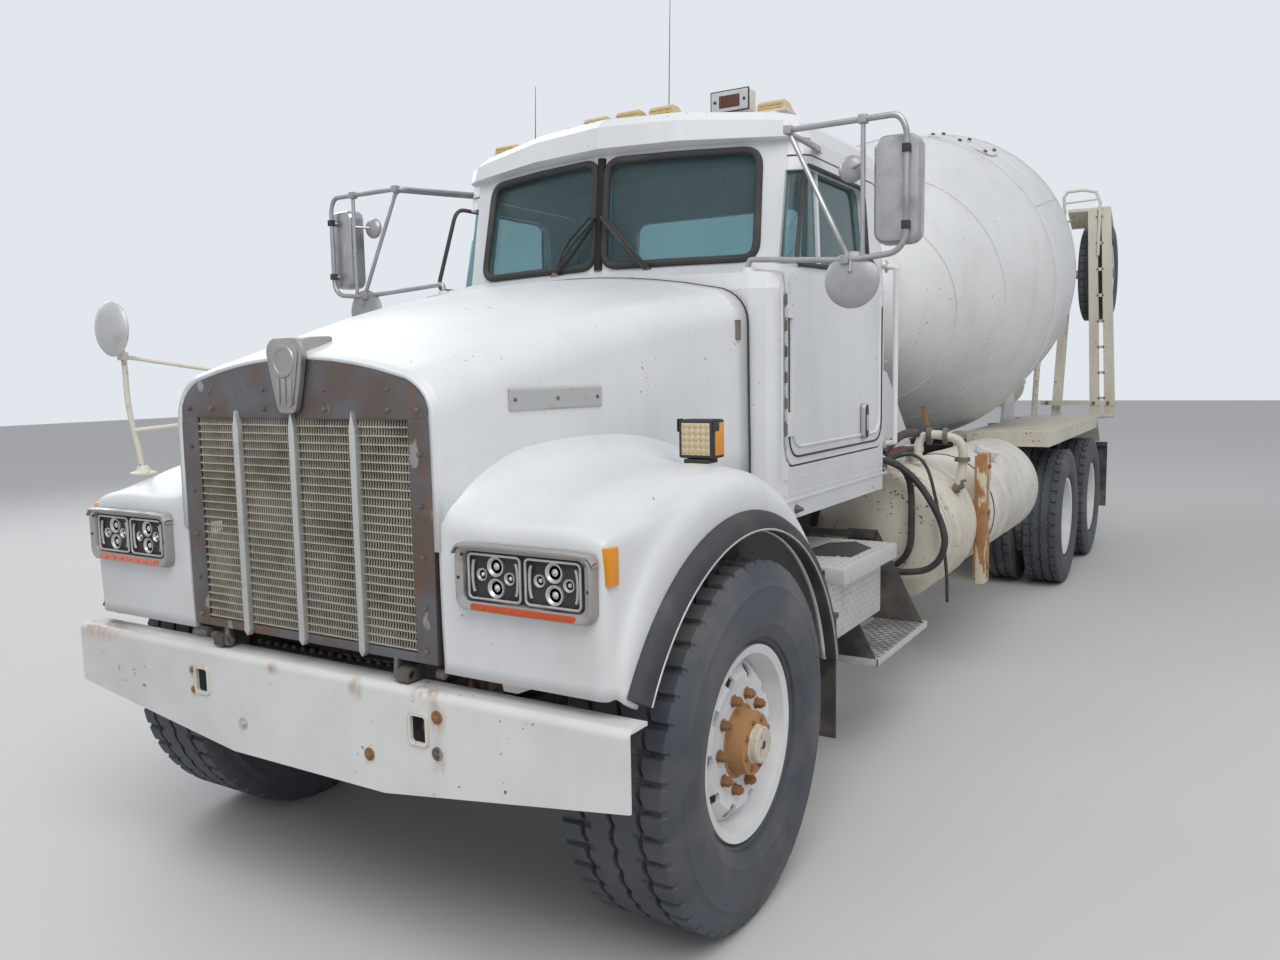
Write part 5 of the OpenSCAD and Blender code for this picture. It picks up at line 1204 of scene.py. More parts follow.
for k in range(27):
    back = 1.50 + k * 0.047
    skirt.lathe([(0, 0.0055), (0.0022, 0.0045), (0.003, 0.001)], at(SIDE, back, 1.215), (1, 0, 0), 0, 8)
    if k % 2:
        skirt.lathe([(0, 0.0055), (0.0022, 0.0045), (0.003, 0.001)], at(SIDE, back, 1.275), (1, 0, 0),
            0, 8)
for k in range(12):
    skirt.rod(at(SIDE + 0.003, 1.538, 1.400 + 0.048 * k), at(SIDE + 0.003, 1.538, 1.440 + 0.048 * k),
        0.0065, 1 + k % 2, 8)
skirt.box((SIDE - 0.004, 1.475, 1.186), (SIDE + 0.0035, 2.765, 1.198), 0, 0.002)
skirt.pipe([at(SIDE + 0.002, 1.50, 1.29), at(SIDE + 0.002, 1.50, 1.99)], 0.004, 0, 6)
for z in (1.38, 1.55, 1.72, 1.89):
    skirt.lathe([(0, 0.006), (0.003, 0.001)], at(SIDE, 2.735, z), (1, 0, 0), 0, 8)
for z in (1.34, 2.16):
    skirt.lathe([(0, 0.03), (0.006, 0.029), (0.010, 0.02)], at(SIDE, 2.722, z), (1, 0, 0), 1, 20)
skirt.lathe([(0, 0.018), (0.004, 0.018), (0.012, 0.013), (0.03, 0.006)], at(SIDE, 1.64, 1.155), (1, 0, 0),
    2, 16)
skirt.done("white_paint", both=True)
print("door beads, hinges and the rivets of the skirt")

# %% [markdown]
# Mirrors hang on bent bright tubes with clamps. The big flat head is a metal
# case with rounded corners and the glass looks back along the truck, so from
# the front only the case shows. The case is a stack of rounded outlines, and
# its tubes run in front of it.

# %% Door mirrors
MIRROR_BACK, LOOP_BACK = 1.500, 1.452
for side, name in ((1, "left"), (-1, "right")):
    arms = Part("mirror_" + name, "truck", disc_metal, trim_plastic, lens_glass, white_paint)
    loop = rounded([at(0.877, 1.9232, 2.560), at(0.932, LOOP_BACK, 2.528), at(1.345, LOOP_BACK, 2.528),
        at(1.371, LOOP_BACK, 2.480), at(1.371, LOOP_BACK, 2.115), at(1.335, LOOP_BACK, 2.075),
        at(1.180, LOOP_BACK, 2.062), at(0.760, 1.530, 2.100), at(0.755, 1.530, 2.072)], 0.05, 6)
    arms.pipe(loop, 0.0105, 0, 12)
    arms.pipe([at(1.222, LOOP_BACK, 2.528), at(1.222, LOOP_BACK, 2.066)], 0.0085, 0, 10)
    arms.pipe(rounded([at(0.880, 1.9232, 2.548), at(0.95, LOOP_BACK + 0.004, 2.522),
        at(1.172, LOOP_BACK, 2.068)], 0.03, 5), 0.009, 0, 10)
    for x, z in ((1.16, 2.064), (1.222, 2.528), (0.95, 2.528)):
        arms.box((x - 0.015, LOOP_BACK - 0.016, z - 0.015),
            (x + 0.015, LOOP_BACK + 0.016, z + 0.015), 0, 0.004)
    turn = Matrix.Rotation(math.radians(6), 4, "Z")
    middle = at(1.330, 1.505, 2.300)
    whole = Matrix.Translation(middle) @ turn @ Matrix.Translation(-middle)
    case = []
    for depth, grow, radius in ((-0.036, -0.046, 0.020), (-0.034, -0.020, 0.034), (-0.024, -0.004, 0.040),
        (0.0, 0.0, 0.042), (0.034, 0.0, 0.042), (0.038, -0.004, 0.040), (0.038, -0.018, 0.034),
        (0.030, -0.020, 0.033)):
        case.append([whole @ at(1.330 + x, 1.505 + depth, 2.290 + z)
            for x, z in round_rect(0.160 + grow, 0.362 + grow, radius, 5)])
    arms.grid(case, 0, around=True, ends=True)
    arms.grid([[p + Vector((0, 0.0006 + 0.001 * k, 0)) for p in case[-1]] for k in range(2)],
        2, around=True, ends=True)
    for z in (2.415, 2.165):
        arms.rod(whole @ at(1.352, 1.480, z), at(1.371, LOOP_BACK, z), 0.008, 0, 10)
        arms.box((1.358, LOOP_BACK - 0.014, z - 0.014), (1.384, LOOP_BACK + 0.014, z + 0.014),
            1, 0.003)
    for center, size in ((at(1.180, LOOP_BACK + 0.004, 1.995), 0.098),
        (at(1.160, MIRROR_BACK + 0.006, 2.380), 0.047)):
        dish = [(-0.012, 0.001), (-0.010, size * 0.55), (-0.003, size * 0.88), (0.006, size),
            (0.012, size), (0.012, size * 0.95), (0.008, size * 0.94)]
        arms.lathe(dish, center, (0, 1, 0), 0, 40)
        arms.lathe([(0.006, size * 0.94), (0.0085, size * 0.6), (0.009, 0.001)], center, (0, 1, 0),
            2, 40)
    arms.rod(at(1.180, LOOP_BACK, 2.066), at(1.180, LOOP_BACK - 0.008, 2.02), 0.007, 0, 10)
    arms.rod(at(1.160, MIRROR_BACK + 0.008, 2.380), at(1.222, LOOP_BACK, 2.385), 0.006, 0, 10)
    arms.box((0.834, 1.9240, 2.539), (0.888, 1.956, 2.581), 3, 0.003)
    if side < 0:
        arms.mirror()
    mirror = arms.done("steel")
    if side > 0:
        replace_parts(mirror, "mirrors")
hood_disc = Part("fender_mirror", "hood", mirror_steel, lens_glass, cream_paint)
DISC = at(-1.000, 0.100, 1.870)
hood_disc.lathe([(-0.012, 0.001), (-0.0115, 0.03), (-0.008, 0.062), (0.0, 0.088), (0.008, 0.0955),
    (0.012, 0.0955), (0.012, 0.090)], DISC, (0, 1, 0), 0, 48)
hood_disc.lathe([(0.009, 0.090), (0.0115, 0.050), (0.012, 0.001)], DISC, (0, 1, 0), 1, 48)
stem = flowing([at(-1.0, 0.112, 1.865), at(-1.0, 0.140, 1.80), at(-1.0, 0.150, 1.60),
    at(-1.0, 0.175, 1.45), at(-1.0, 0.188, 1.364)], 5)
hood_disc.pipe(stem, 0.0095, 2, 12)
hood_disc.lathe([(0, 0.045), (0.006, 0.045), (0.012, 0.026), (0.03, 0.016)], at(-1.0, 0.189, 1.358),
    (0, 0, 1), 2, 24)
hood_disc.rod(at(-1.0, 0.143, 1.775), at(-0.645, 0.470, 1.690), 0.0075, 2, 12)
hood_disc.rod(at(-1.0, 0.160, 1.515), at(-0.640, 0.445, 1.560), 0.0070, 2, 12)
hood_disc.box((-1.014, 0.128, 1.762), (-0.986, 0.156, 1.790), 2, 0.003)
disc_piece = hood_disc.done("steel")
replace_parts(disc_piece, "hood_mirror")
print("mirrors", MIRROR_BACK, "behind the bumper, their tubes at", LOOP_BACK)

# %% [markdown]
# The turn lamp on the fender's crest is a square case with an amber side and a
# lens of small round cells. A blank bright plate sits on the hood's side, with
# the hood's latch behind it. The plate takes its bend from the hood's width.

# %% Turn lamps and the blank plates
turn_lamp = Part("turn_lamps", "hood", trim_plastic, pale_amber, amber_lens, cream_paint)
TURN_X, TURN_BACK, TURN_Z = 0.880, 0.880, 1.3965
turn_lamp.box((TURN_X - 0.045, TURN_BACK - 0.015, TURN_Z),
    (TURN_X + 0.045, TURN_BACK + 0.050, TURN_Z + 0.014), 0, 0.003)
turn_lamp.box((TURN_X - 0.063, TURN_BACK - 0.014, TURN_Z + 0.016),
    (TURN_X + 0.063, TURN_BACK + 0.064, TURN_Z + 0.140), 0, 0.008)
turn_lamp.box((TURN_X - 0.060, TURN_BACK - 0.0165, TURN_Z + 0.019),
    (TURN_X + 0.060, TURN_BACK - 0.012, TURN_Z + 0.137), 0, 0.003)
turn_lamp.box((TURN_X - 0.050, TURN_BACK - 0.0175, TURN_Z + 0.027),
    (TURN_X + 0.050, TURN_BACK - 0.0160, TURN_Z + 0.129), 3, 0.0005)
for row in range(5):
    for column in range(5):
        place = at(TURN_X - 0.040 + 0.020 * column, TURN_BACK - 0.0172, TURN_Z + 0.037 + 0.0205 * row)
        turn_lamp.lathe([(0, 0.0096), (0.0012, 0.0090), (0.0026, 0.0055), (0.0031, 0.0005)],
            place, (0, -1, 0), 1, 10)
turn_lamp.box((TURN_X + 0.0615, TURN_BACK - 0.004, TURN_Z + 0.026),
    (TURN_X + 0.0655, TURN_BACK + 0.056, TURN_Z + 0.130), 2, 0.002)
for side in (-1, 1):
    x = TURN_X + side * 0.0635
    turn_lamp.plate([(x, TURN_Z + 0.10), (x + side * 0.0028, TURN_Z + 0.105),
        (x + side * 0.0028, TURN_Z + 0.142), (x, TURN_Z + 0.142)],
        "Y", TURN_BACK - 0.018, TURN_BACK + 0.02, 0)
turn_lamp.done("lamp_amber", both=True)
plates = Part("blank_plates", "hood", bar_metal, iron)
plates.box((0.760, 1.378, 1.800), (0.786, 1.402, 1.872), 1, 0.004)
plate_rows = []
for back in [0.29 + 0.0475 * k for k in range(9)]:
    x = hood_width(back) - 0.0015
    plate_rows.append([at(x, back, z) for z in (1.585, 1.59, 1.645, 1.650)])
for row in plate_rows:
    row[1] += Vector((0.005, 0, 0))
    row[2] += Vector((0.005, 0, 0))
plates.grid(plate_rows)
for end in (0, -1):
    plates.shape(plate_rows[end], [(0, 1, 2, 3)])
for back in (0.31, 0.48, 0.65):
    plates.nut(at(hood_width(back) + 0.003, back, 1.6175), (1, 0, 0), 0.010, 0.004, 1)
plates.done("steel", both=True)
print("turn lamps", TURN_X, "from the middle and", TURN_Z, "up")

# %% [markdown]
# Inside the cab little shows through the glass, whose blue-teal is partly tint
# and partly a painted sky reflection, but an empty cab would look wrong. A plain
# dashboard with round dials, the wheel, a gear lever and the seats' boxes are
# enough at that distance.

# %% Dashboard and wheel
dash = Part("dashboard", "truck", trim_plastic, iron, cream_paint)
FLOOR_Z = 1.1655
dash_line = rounded([Vector((b, z, 0))
    for b, z in ((1.535, 1.565), (1.715, 1.605), (1.785, 1.895), (1.698, 2.004), (1.535, 1.958))],
    0.03, 4, closed=True)
dash.plate([(p.x, p.y) for p in dash_line], "X", -0.785, 0.785, 0, 0.006)
for x in (0.30, 0.43, 0.56, 0.16):
    slope = Vector((0, 0.847, 0.532))
    dash.lathe([(0, 0.048), (0.010, 0.048), (0.010, 0.040), (0.006, 0.039), (0.006, 0.001)],
        at(x, 1.742, 1.952), slope, 2 if x < 0.2 else 1, 28)
dash.rod(at(0.43, 1.772, 1.832), at(0.43, 1.902, 1.901), 0.028, 0)
wheel_turn = Vector((0, 0.883, 0.469))
across, up = side_frame(wheel_turn)
hub_at = at(0.43, 1.905, 1.904)
rim_line = [hub_at + across * a + up * b for a, b in circle(0.225, 48)]
dash.pipe(rim_line + rim_line[:2], 0.015, 0, 10)
dash.lathe([(-0.01, 0.055), (0.012, 0.055), (0.024, 0.042), (0.027, 0.001)], hub_at, wheel_turn, 0, 32)
for k in range(3):
    a = math.radians(90 + 120 * k)
    spoke = across * math.cos(a) + up * math.sin(a)
    dash.rod(hub_at + spoke * 0.045, hub_at + spoke * 0.218, 0.011, 1, 8)
dash.pipe(flowing([at(0.08, 1.88, FLOOR_Z), at(0.08, 1.875, 1.45), at(0.08, 1.862, 1.72)], 4),
    0.012, 1, 10)
dash.lathe([(-0.03, 0.012), (-0.018, 0.030), (0.0, 0.036), (0.02, 0.030), (0.03, 0.012)],
    at(0.08, 1.86, 1.745), (0, 0, 1), 0, 20)
for x in (-0.43, 0.43):
    dash.box((x - 0.19, 2.04, FLOOR_Z), (x + 0.19, 2.40, FLOOR_Z + 0.25), 0, 0.012)
dash_piece = dash.done("black")
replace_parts(dash_piece, "cab_interior")
print("dashboard and steering wheel")

# %% [markdown]
# A seat pad is foam under cloth: crowned in the middle, thin at its edges and
# pulled in between its corners. Cloth simulation would do it, but behind dark
# glass a grid that is moved by a few formulas looks the same and is quicker.

# %% Padded seats
seat_cloth = rubber("seat_cloth", (0.045, 0.047, 0.052), 0.18)


def cushion(name, corners, thick, forward):
    """A crowned pad between four corners, with three sewn channels."""
    part = Part(name, "truck", seat_cloth)
    a, b, c, d = [Vector(p) for p in corners]
    steps = 16
    layers = []
    for face in (1, -1):
        rows = []
        for i in range(steps + 1):
            row = []
            for j in range(steps + 1):
                u, v = i / steps, j / steps
                crown = (1 - (2 * u - 1) ** 6) * (1 - (2 * v - 1) ** 6)
                channel = 1 - 0.16 * max(0, math.cos(6 * math.pi * u)) ** 12 * (face > 0)
                pull = 0.03 * (1 - (2 * v - 1) ** 2)
                edge = Vector(a.lerp(b, u).lerp(d.lerp(c, u), v))
                middle = (a + b + c + d) / 4
                edge = edge.lerp(middle, pull * (abs(2 * u - 1) ** 4))
                row.append(edge + forward * face * thick / 2 * crown ** 0.5 * channel)
            rows.append(row)
        layers.append(rows)
    part.grid(layers[0])
    part.grid(layers[1])
    bmesh.ops.remove_doubles(part.mesh, verts=part.mesh.verts, dist=0.0004)
    pad = part.done("black", smooth=60)
    return pad


for x, name in ((-0.43, "right"), (0.43, "left")):
    cushion("seat_pad_" + name, [at(x - 0.24, 1.99, 1.50), at(x + 0.24, 1.99, 1.50),
        at(x + 0.24, 2.46, 1.47), at(x - 0.24, 2.46, 1.47)], 0.13, Vector((0, 0, 1)))
    cushion("back_pad_" + name, [at(x - 0.23, 2.44, 1.53), at(x + 0.23, 2.44, 1.53),
        at(x + 0.21, 2.585, 2.12), at(x - 0.21, 2.585, 2.12)], 0.11, Vector((0, -0.97, 0.24)))
print("two seats, each of two pads")

# %% [markdown]
# The drum is turned plate: cones and a straight middle, welded ring to ring.
# The real one shows its weld seams, a bolted end ring and a heavy track that
# runs on two rollers. A turned profile gives all of them in one piece.

# %% Drum
DRUM_TILT = math.radians(11.4)
DRUM_AXIS = Vector((0, math.cos(DRUM_TILT), math.sin(DRUM_TILT)))
DRUM_FOOT = at(0, 4.6, 2.013)


def on_drum(along, turn, radius):
    across, up = side_frame(DRUM_AXIS)
    return DRUM_FOOT + DRUM_AXIS * along + (across * math.cos(turn) + up * math.sin(turn)) * radius


drum_levels = [(0.0, 0.290), (0.09, 0.410), (0.40, 0.668), (0.806, 0.900), (1.286, 1.155), (2.19, 1.151),
    (4.39, 0.580)]
drum = Part("drum_shell", "drum", drum_paint, iron)
profile = [(0.0, 0.001), (0.0, 0.278), (0.004, 0.289)]
for (s0, r0), (s1, r1) in zip(drum_levels, drum_levels[1:]):
    for k in range(1, 5):
        t = k / 4
        profile.append((s0 + (s1 - s0) * t, r0 + (r1 - r0) * t - (0.003 if k == 4 else 0)))
profile += [(4.386, 0.574)]
SHELL_STEPS = 128
inside = [(s - 0.001, r - 0.010) for s, r in profile[::-1][1:-4] if r > 0.4]
drum.lathe(profile + inside + [(inside[-1][0], 0.001)], DRUM_FOOT, DRUM_AXIS, 0, SHELL_STEPS)
for along, radius in ((0.40, 0.668), (0.806, 0.900), (1.286, 1.153), (1.74, 1.152), (2.19, 1.150),
    (2.92, 0.961), (4.38, 0.576)):
    ring = [on_drum(along + 0.001 * math.sin(k * 1.7), 2 * math.pi * k / 120, radius) for k in range(120)]
    drum.pipe(ring + ring[:2], 0.006, 0, 6)
for turn in (0.5, 2.2, 3.9, 5.4):
    line = [on_drum(s, turn, r + 0.001)
        for s, r in ((1.29, 1.155), (1.60, 1.1535), (1.90, 1.152), (2.18, 1.151))]
    drum.pipe(line, 0.005, 0, 6)
    line = [on_drum(s, turn + 0.7, r + 0.001) for s, r in ((2.2, 1.148), (2.56, 1.055), (2.92, 0.961))]
    drum.pipe(line, 0.005, 0, 6)
for k in range(16):
    place = on_drum(0.004, 2 * math.pi * k / 16, 0.245)
    drum.nut(place - DRUM_AXIS * 0.004, -DRUM_AXIS, 0.03, 0.016, 1)
print("drum profile of", len(profile), "points")

# %% [markdown]
# The track is a heavy turned ring that the rollers carry. Through the mouth one
# sees the end of two spiral blades, which are strips between two lines on the
# cone. The door in the side is a rounded plate that takes the shell's bend.

# %% Roller track, charging blades and access door
def cone_radius(along):
    """The shell's radius on the long cone that ends at the mouth."""
    return 1.151 - (1.151 - 0.580) * (along - 2.19) / (4.39 - 2.19)


shell_at_track = cone_radius(3.6)
drum.lathe([(3.550, shell_at_track - 0.010), (3.550, 0.815), (3.556, 0.829), (3.644, 0.829),
    (3.650, 0.815), (3.650, shell_at_track - 0.030)], DRUM_FOOT, DRUM_AXIS, 1, SHELL_STEPS)
for start in (0.3, 0.3 + math.pi):
    outer_edge, inner_edge = [], []
    for k in range(49):
        t = k / 48
        along = 3.30 + 1.07 * t
        reach = cone_radius(along) - 0.012
        outer_edge.append(on_drum(along, start + 2.2 * t, reach))
        inner_edge.append(on_drum(along + 0.03, start + 2.2 * t, reach - 0.24 + 0.06 * t))
    lifted = [[p + DRUM_AXIS * 0.006 for p in line] for line in (outer_edge, inner_edge)]
    drum.grid([outer_edge, inner_edge, lifted[1], lifted[0], outer_edge], 1)
hatch = [[on_drum(1.55 + a, 1.15 + b / 1.15, radius) for a, b in round_rect(0.36, 0.50, 0.10, 6)]
    for radius in (1.156, 1.156 + 0.012)]
drum.grid(hatch, 0, around=True)
drum.shape(hatch[1], [tuple(range(len(hatch[1])))], 0)
for a, b in ((0.15, 0.2), (-0.15, 0.2), (0.15, -0.2), (-0.15, -0.2), (0.15, 0), (-0.15, 0)):
    place = on_drum(1.55 + a, 1.15 + b / 1.15, 1.166)
    drum.nut(place, place - (DRUM_FOOT + DRUM_AXIS * (1.55 + a)), 0.028, 0.014, 1)
drum_piece = drum.done("white_paint", smooth=28)
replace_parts(drum_piece, "drum")
print("drum has a track, blades at its mouth and a door in its side")

# %% [markdown]
# The front end stands on a welded pedestal with the hydraulic motor and its
# gearbox. Four hoses, a cooler with fins and an oil tank make it look busy. The
# hoses start at the motor, which is found by going down the drum's axis.

# %% Drive fittings
drive = Part("drive_fittings", "truck", iron, cream_paint, hose_rubber, trim_plastic)
HEAD = DRUM_FOOT - DRUM_AXIS * 0.32
across, up = side_frame(DRUM_AXIS)
drive.lathe([(0.04, 0.262), (0.06, 0.268), (0.085, 0.268), (0.105, 0.258)], HEAD, DRUM_AXIS, 1, 48)
drive.lathe([(0.19, 0.252), (0.20, 0.262), (0.22, 0.262), (0.23, 0.252)], HEAD, DRUM_AXIS, 1, 48)
for k in range(12):
    a = 2 * math.pi * k / 12
    place = HEAD + DRUM_AXIS * 0.105 + (across * math.cos(a) + up * math.sin(a)) * 0.225
    drive.nut(place, -DRUM_AXIS, 0.028, 0.02, 0)
for x, z in ((-0.06, 0.08), (0.06, 0.08), (-0.07, -0.05), (0.07, -0.05)):
    start = HEAD - DRUM_AXIS * 0.25 + Vector((x, 0, z))
    line = [start, start + Vector((x, -0.14, 0.05)), start + Vector((x * 3, -0.18, -0.25)),
        start + Vector((x * 3.4, -0.02, -0.62)), start + Vector((x * 2, 0.14, -0.86))]
    drive.pipe(flowing(line, 6), 0.019, 2, 10)
    drive.lathe([(0, 0.026), (0.03, 0.026), (0.034, 0.020), (0.06, 0.020)], start + Vector((0, 0.03, 0)),
        (x, -1, 0.2), 0, 12)
drive.box((-0.30, 3.875, 2.245), (0.30, 4.02, 2.275), 1, 0.004)
drive.box((-0.27, 3.80, 1.32), (0.27, 3.86, 1.78), 1, 0.01)
for k in range(22):
    z = 1.345 + 0.019 * k
    drive.box((-0.25, 3.79, z), (0.25, 3.80, z + 0.006), 3, 0.001)
drive.lathe([(0, 0.11), (0.02, 0.12), (0.36, 0.12), (0.38, 0.11)], at(-0.62, 4.30, 1.20), (0, 1, 0),
    1, 32)
drive.done("iron")
print("drive with its hoses, cooler and tank")

# %% [markdown]
# The steps are folded sheet: a box step with a raised diamond pattern and a
# low tread with punched holes, closed by black side plates. The holes are not
# cut: they are painted shade, flat dark faces on the tread. The diamonds could
# be bump in the finish, but they catch the light, so each is a small pyramid.

# %% Steps
RAIL_FACE = 0.4325


def diamond_plate(part, corner, along, across, normal, rows, columns, finish):
    """Small raised lozenges in a woven pattern on a flat plate."""
    corner, along, across = Vector(corner), Vector(along), Vector(across)
    normal = Vector(normal).normalized()
    for r in range(rows):
        for c in range(columns):
            middle = corner + along * ((r + 0.5) / rows) + across * ((c + 0.5) / columns)
            u, v = along.normalized(), across.normalized()
            if (r + c) % 2:
                u, v = v, u
            long_side, thin = u * 0.0130, v * 0.0048
            base = [middle - long_side, middle - thin, middle + long_side, middle + thin]
            peak = middle + normal * 0.0040
            part.shape(base + [peak], [(0, 1, 4), (1, 2, 4), (2, 3, 4), (3, 0, 4)], finish)


steps = Part("steps", "truck", step_metal, frame_paint, trim_plastic, iron, bar_metal)
steps.box((0.700, 1.600, 0.640), (1.040, 2.250, 0.940), 0, 0.008)
steps.box((0.700, 1.600, 0.880), (1.110, 2.250, 0.945), 0, 0.006)
steps.plate([(1.615, 0.655), (2.235, 0.655), (2.235, 0.865), (1.615, 0.865)], "X", 1.040, 1.043, 0, 0.001)
diamond_plate(steps, at(1.0435, 1.62, 0.66), (0, 0.61, 0), (0, 0, 0.20), (1, 0, 0), 22, 8, 4)
diamond_plate(steps, at(0.71, 1.61, 0.9455), (0, 0.63, 0), (0.39, 0, 0), (0, 0, 1), 22, 14, 4)
diamond_plate(steps, at(0.705, 1.5995, 0.65), (0.33, 0, 0), (0, 0, 0.22), (0, -1, 0), 12, 8, 4)
steps.plate([(0.90, 1.80), (1.05, 1.84), (1.06, 2.06), (0.95, 2.18), (0.86, 2.10), (0.84, 1.90)],
    "Z", 0.945, 0.9495, 2, 0.001)
for back in (1.72, 2.14):
    steps.box((RAIL_FACE, back - 0.03, 0.76), (0.702, back + 0.03, 0.86), 1, 0.004)
    for z in (0.785, 0.835):
        steps.nut(at(0.433, back, z), (-1, 0, 0), 0.022, 0.012, 3)
steps.box((0.830, 2.080, 0.4400), (0.838, 2.840, 0.4700), 0, 0.002)
steps.box((1.077, 2.080, 0.4400), (1.085, 2.840, 0.4700), 0, 0.002)
steps.box((0.830, 2.080, 0.4400), (1.085, 2.088, 0.4700), 0, 0.002)
steps.box((0.830, 2.832, 0.4400), (1.085, 2.840, 0.4700), 0, 0.002)
steps.box((0.832, 2.082, 0.4600), (1.083, 2.838, 0.4692), 4, 0.002)
# Each punched hole is a flat dark face on the tread: painted shade for the dark under the step.
for row in range(25):
    for column in range(5):
        x, back = 0.862 + 0.046 * column + 0.020 * (row % 2), 2.104 + 0.0296 * row
        hole_shade_line = [(x + a * 0.017, back + b * 0.0052)
            for a, b in ((-1, 0), (-0.8, -1), (0.8, -1), (1, 0), (0.8, 1), (-0.8, 1))]
        steps.shape([at(a, b, 0.4695) for a, b in hole_shade_line], [(0, 1, 2, 3, 4, 5)], 2)
steps.box((0.832, 2.082, 0.442), (1.083, 2.838, 0.446), 1, 0)
for near, far in ((2.083, 2.089), (2.784, 2.790)):
    steps.plate([(0.700, 0.470), (1.075, 0.470), (1.060, 0.500), (0.850, 0.905), (0.700, 0.905)],
        "Y", near, far, 1, 0.001)
    steps.plate([(0.842, 0.47), (0.850, 0.47), (0.850, 0.90), (0.842, 0.90)],
        "Y", near - 0.008, far + 0.009, 1, 0.001)
steps.box((RAIL_FACE, 2.776, 0.862), (0.850, 2.799, 0.898), 1, 0.003)
steps_piece = steps.done("steel", both=True)
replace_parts(steps_piece, "side_steps")
print("steps with their treads")

# %% [markdown]
# Tanks are rolled sheet with pressed ends. Steel bands pull them against their
# saddles, and the water tank carries its valves, its pipes and its hoses. A
# post behind it has lost most of its paint.

# %% Tanks
def tank_profile(length, radius):
    rise = [(0.000, 0.001), (0.002, radius * 0.35), (0.010, radius * 0.66), (0.024, radius * 0.88),
        (0.038, radius * 0.965), (0.048, radius * 0.992), (0.060, radius)]
    return rise + [(length - s, r) for s, r in rise[::-1]]


def band(part, x, z, back, radius, wide, finish):
    """A flat steel ring round a tank that lies along the truck."""
    outer = [(-wide / 2, radius - 0.004), (-wide / 2, radius + 0.003), (wide / 2, radius + 0.003),
        (wide / 2, radius - 0.004)]
    part.lathe(outer, at(x, back, z), (0, 1, 0), finish, 64)


water = Part("water_tank_dressed", "truck", cream_paint, iron, rust, post_rust, mirror_steel, red_hose,
    hose_rubber, peeled_post)
WATER_X, WATER_Z, WATER_R = 0.815, 0.850, 0.3385
water.lathe(tank_profile(0.658, WATER_R), at(WATER_X, 2.901, WATER_Z), (0, 1, 0), 0, 72)
for back in (2.958, 3.23, 3.502):
    band(water, WATER_X, WATER_Z, back, WATER_R, 0.010, 0)
for back in (3.035, 3.445):
    band(water, WATER_X, WATER_Z, back, WATER_R, 0.045, 0)
    water.plate([(back - 0.025, 0.78), (back + 0.025, 0.78), (back + 0.025, 0.96), (back - 0.025, 0.96)],
        "X", RAIL_FACE, 0.52, 1, 0.003)
water.lathe([(0, 0.075), (0.012, 0.075), (0.012, 0.055), (0.05, 0.052), (0.055, 0.060), (0.085, 0.060),
    (0.09, 0.04)], at(WATER_X, 3.48, 1.180), (0, 0, 1), 4, 32)
water.box((0.760, 2.935, 1.150), (0.830, 3.000, 1.262), 1, 0.006)
water.box((0.760, 2.805, 1.205), (0.830, 3.000, 1.262), 1, 0.006)
for back in (2.825, 2.865):
    water.lathe([(0, 0.026), (0.012, 0.027), (0.030, 0.020)], at(0.8302, back, 1.240), (1, 0, 0), 4, 20)
    water.lathe([(0, 0.026), (0.012, 0.027), (0.034, 0.020)], at(0.4702, back, 0.832), (1, 0, 0), 1, 20)
water.box((RAIL_FACE, 2.804, 0.806), (0.470, 2.886, 0.858), 1, 0.004)
water.lathe([(0, 0.016), (0.012, 0.016), (0.026, 0.010)], at(0.8302, 2.905, 1.242), (1, 0, 0), 4, 16)
for shift, look in ((-0.044, 4), (0.0, 5), (0.044, 6)):
    line = [at(0.795 + shift / 2, 2.990, 1.238), at(0.815 + shift, 3.080, 1.262),
        at(0.820 + shift, 3.300, 1.266), at(0.815 + shift * 0.4, 3.470, 1.240)]
    water.pipe(flowing(line, 6), 0.0135, look, 12)
elbow = flowing([at(0.905, 3.280, 1.190), at(0.905, 3.285, 1.290), at(0.935, 3.290, 1.335),
    at(1.040, 3.300, 1.335), at(1.110, 3.305, 1.305), at(1.128, 3.310, 1.230), at(1.100, 3.315, 1.040)],
    5)
water.pipe(elbow, 0.023, 0, 16)
for place, way, wide in ((at(0.960, 3.292, 1.336), (1, 0, 0), 0.046),
    (at(1.040, 3.300, 1.336), (1, 0.05, 0), 0.042), (at(1.124, 3.309, 1.215), (0, 0, -1), 0.040)):
    water.lathe([(-0.012, wide * 0.8), (-0.010, wide), (0.010, wide), (0.012, wide * 0.8)],
        place, way, 1, 12)
water.rod(at(0.945, 3.290, 1.355), at(0.945, 3.288, 1.400), 0.018, 1, 12)
water.pipe(flowing([at(0.945, 3.288, 1.395), at(0.935, 3.286, 1.440), at(0.928, 3.284, 1.490)], 4),
    [0.010] * 8 + [0.015], 2, 8)
ribbed = flowing([at(0.800, 3.010, 1.262), at(0.815, 3.090, 1.300), at(0.850, 3.190, 1.345),
    at(0.905, 3.270, 1.352)], 14)
water.pipe(ribbed, [0.020 + 0.0022 * (k % 2) for k in range(len(ribbed))], 6, 12)
water.lathe([(0, 0.026), (0.020, 0.026), (0.024, 0.016), (0.050, 0.014)], at(1.090, 3.300, 1.060),
    (1, 0, 0.5), 1, 16)
water.rod(at(1.118, 3.300, 1.100), at(1.150, 3.285, 1.110), 0.007, 1, 8)
water.rod(at(1.135, 3.26, 1.105), at(1.135, 3.33, 1.105), 0.006, 1, 8)
water.plate([(3.600, 0.510), (3.720, 0.510), (3.720, 1.220), (3.600, 1.220)], "X", 1.130, 1.180, 7, 0.006)
water.plate([(3.607, 0.525), (3.612, 0.525), (3.612, 1.21), (3.607, 1.21)], "X", 1.118, 1.131, 3, 0.001)
water.box((RAIL_FACE, 3.640, 0.900), (1.131, 3.690, 0.960), 3, 0.004)
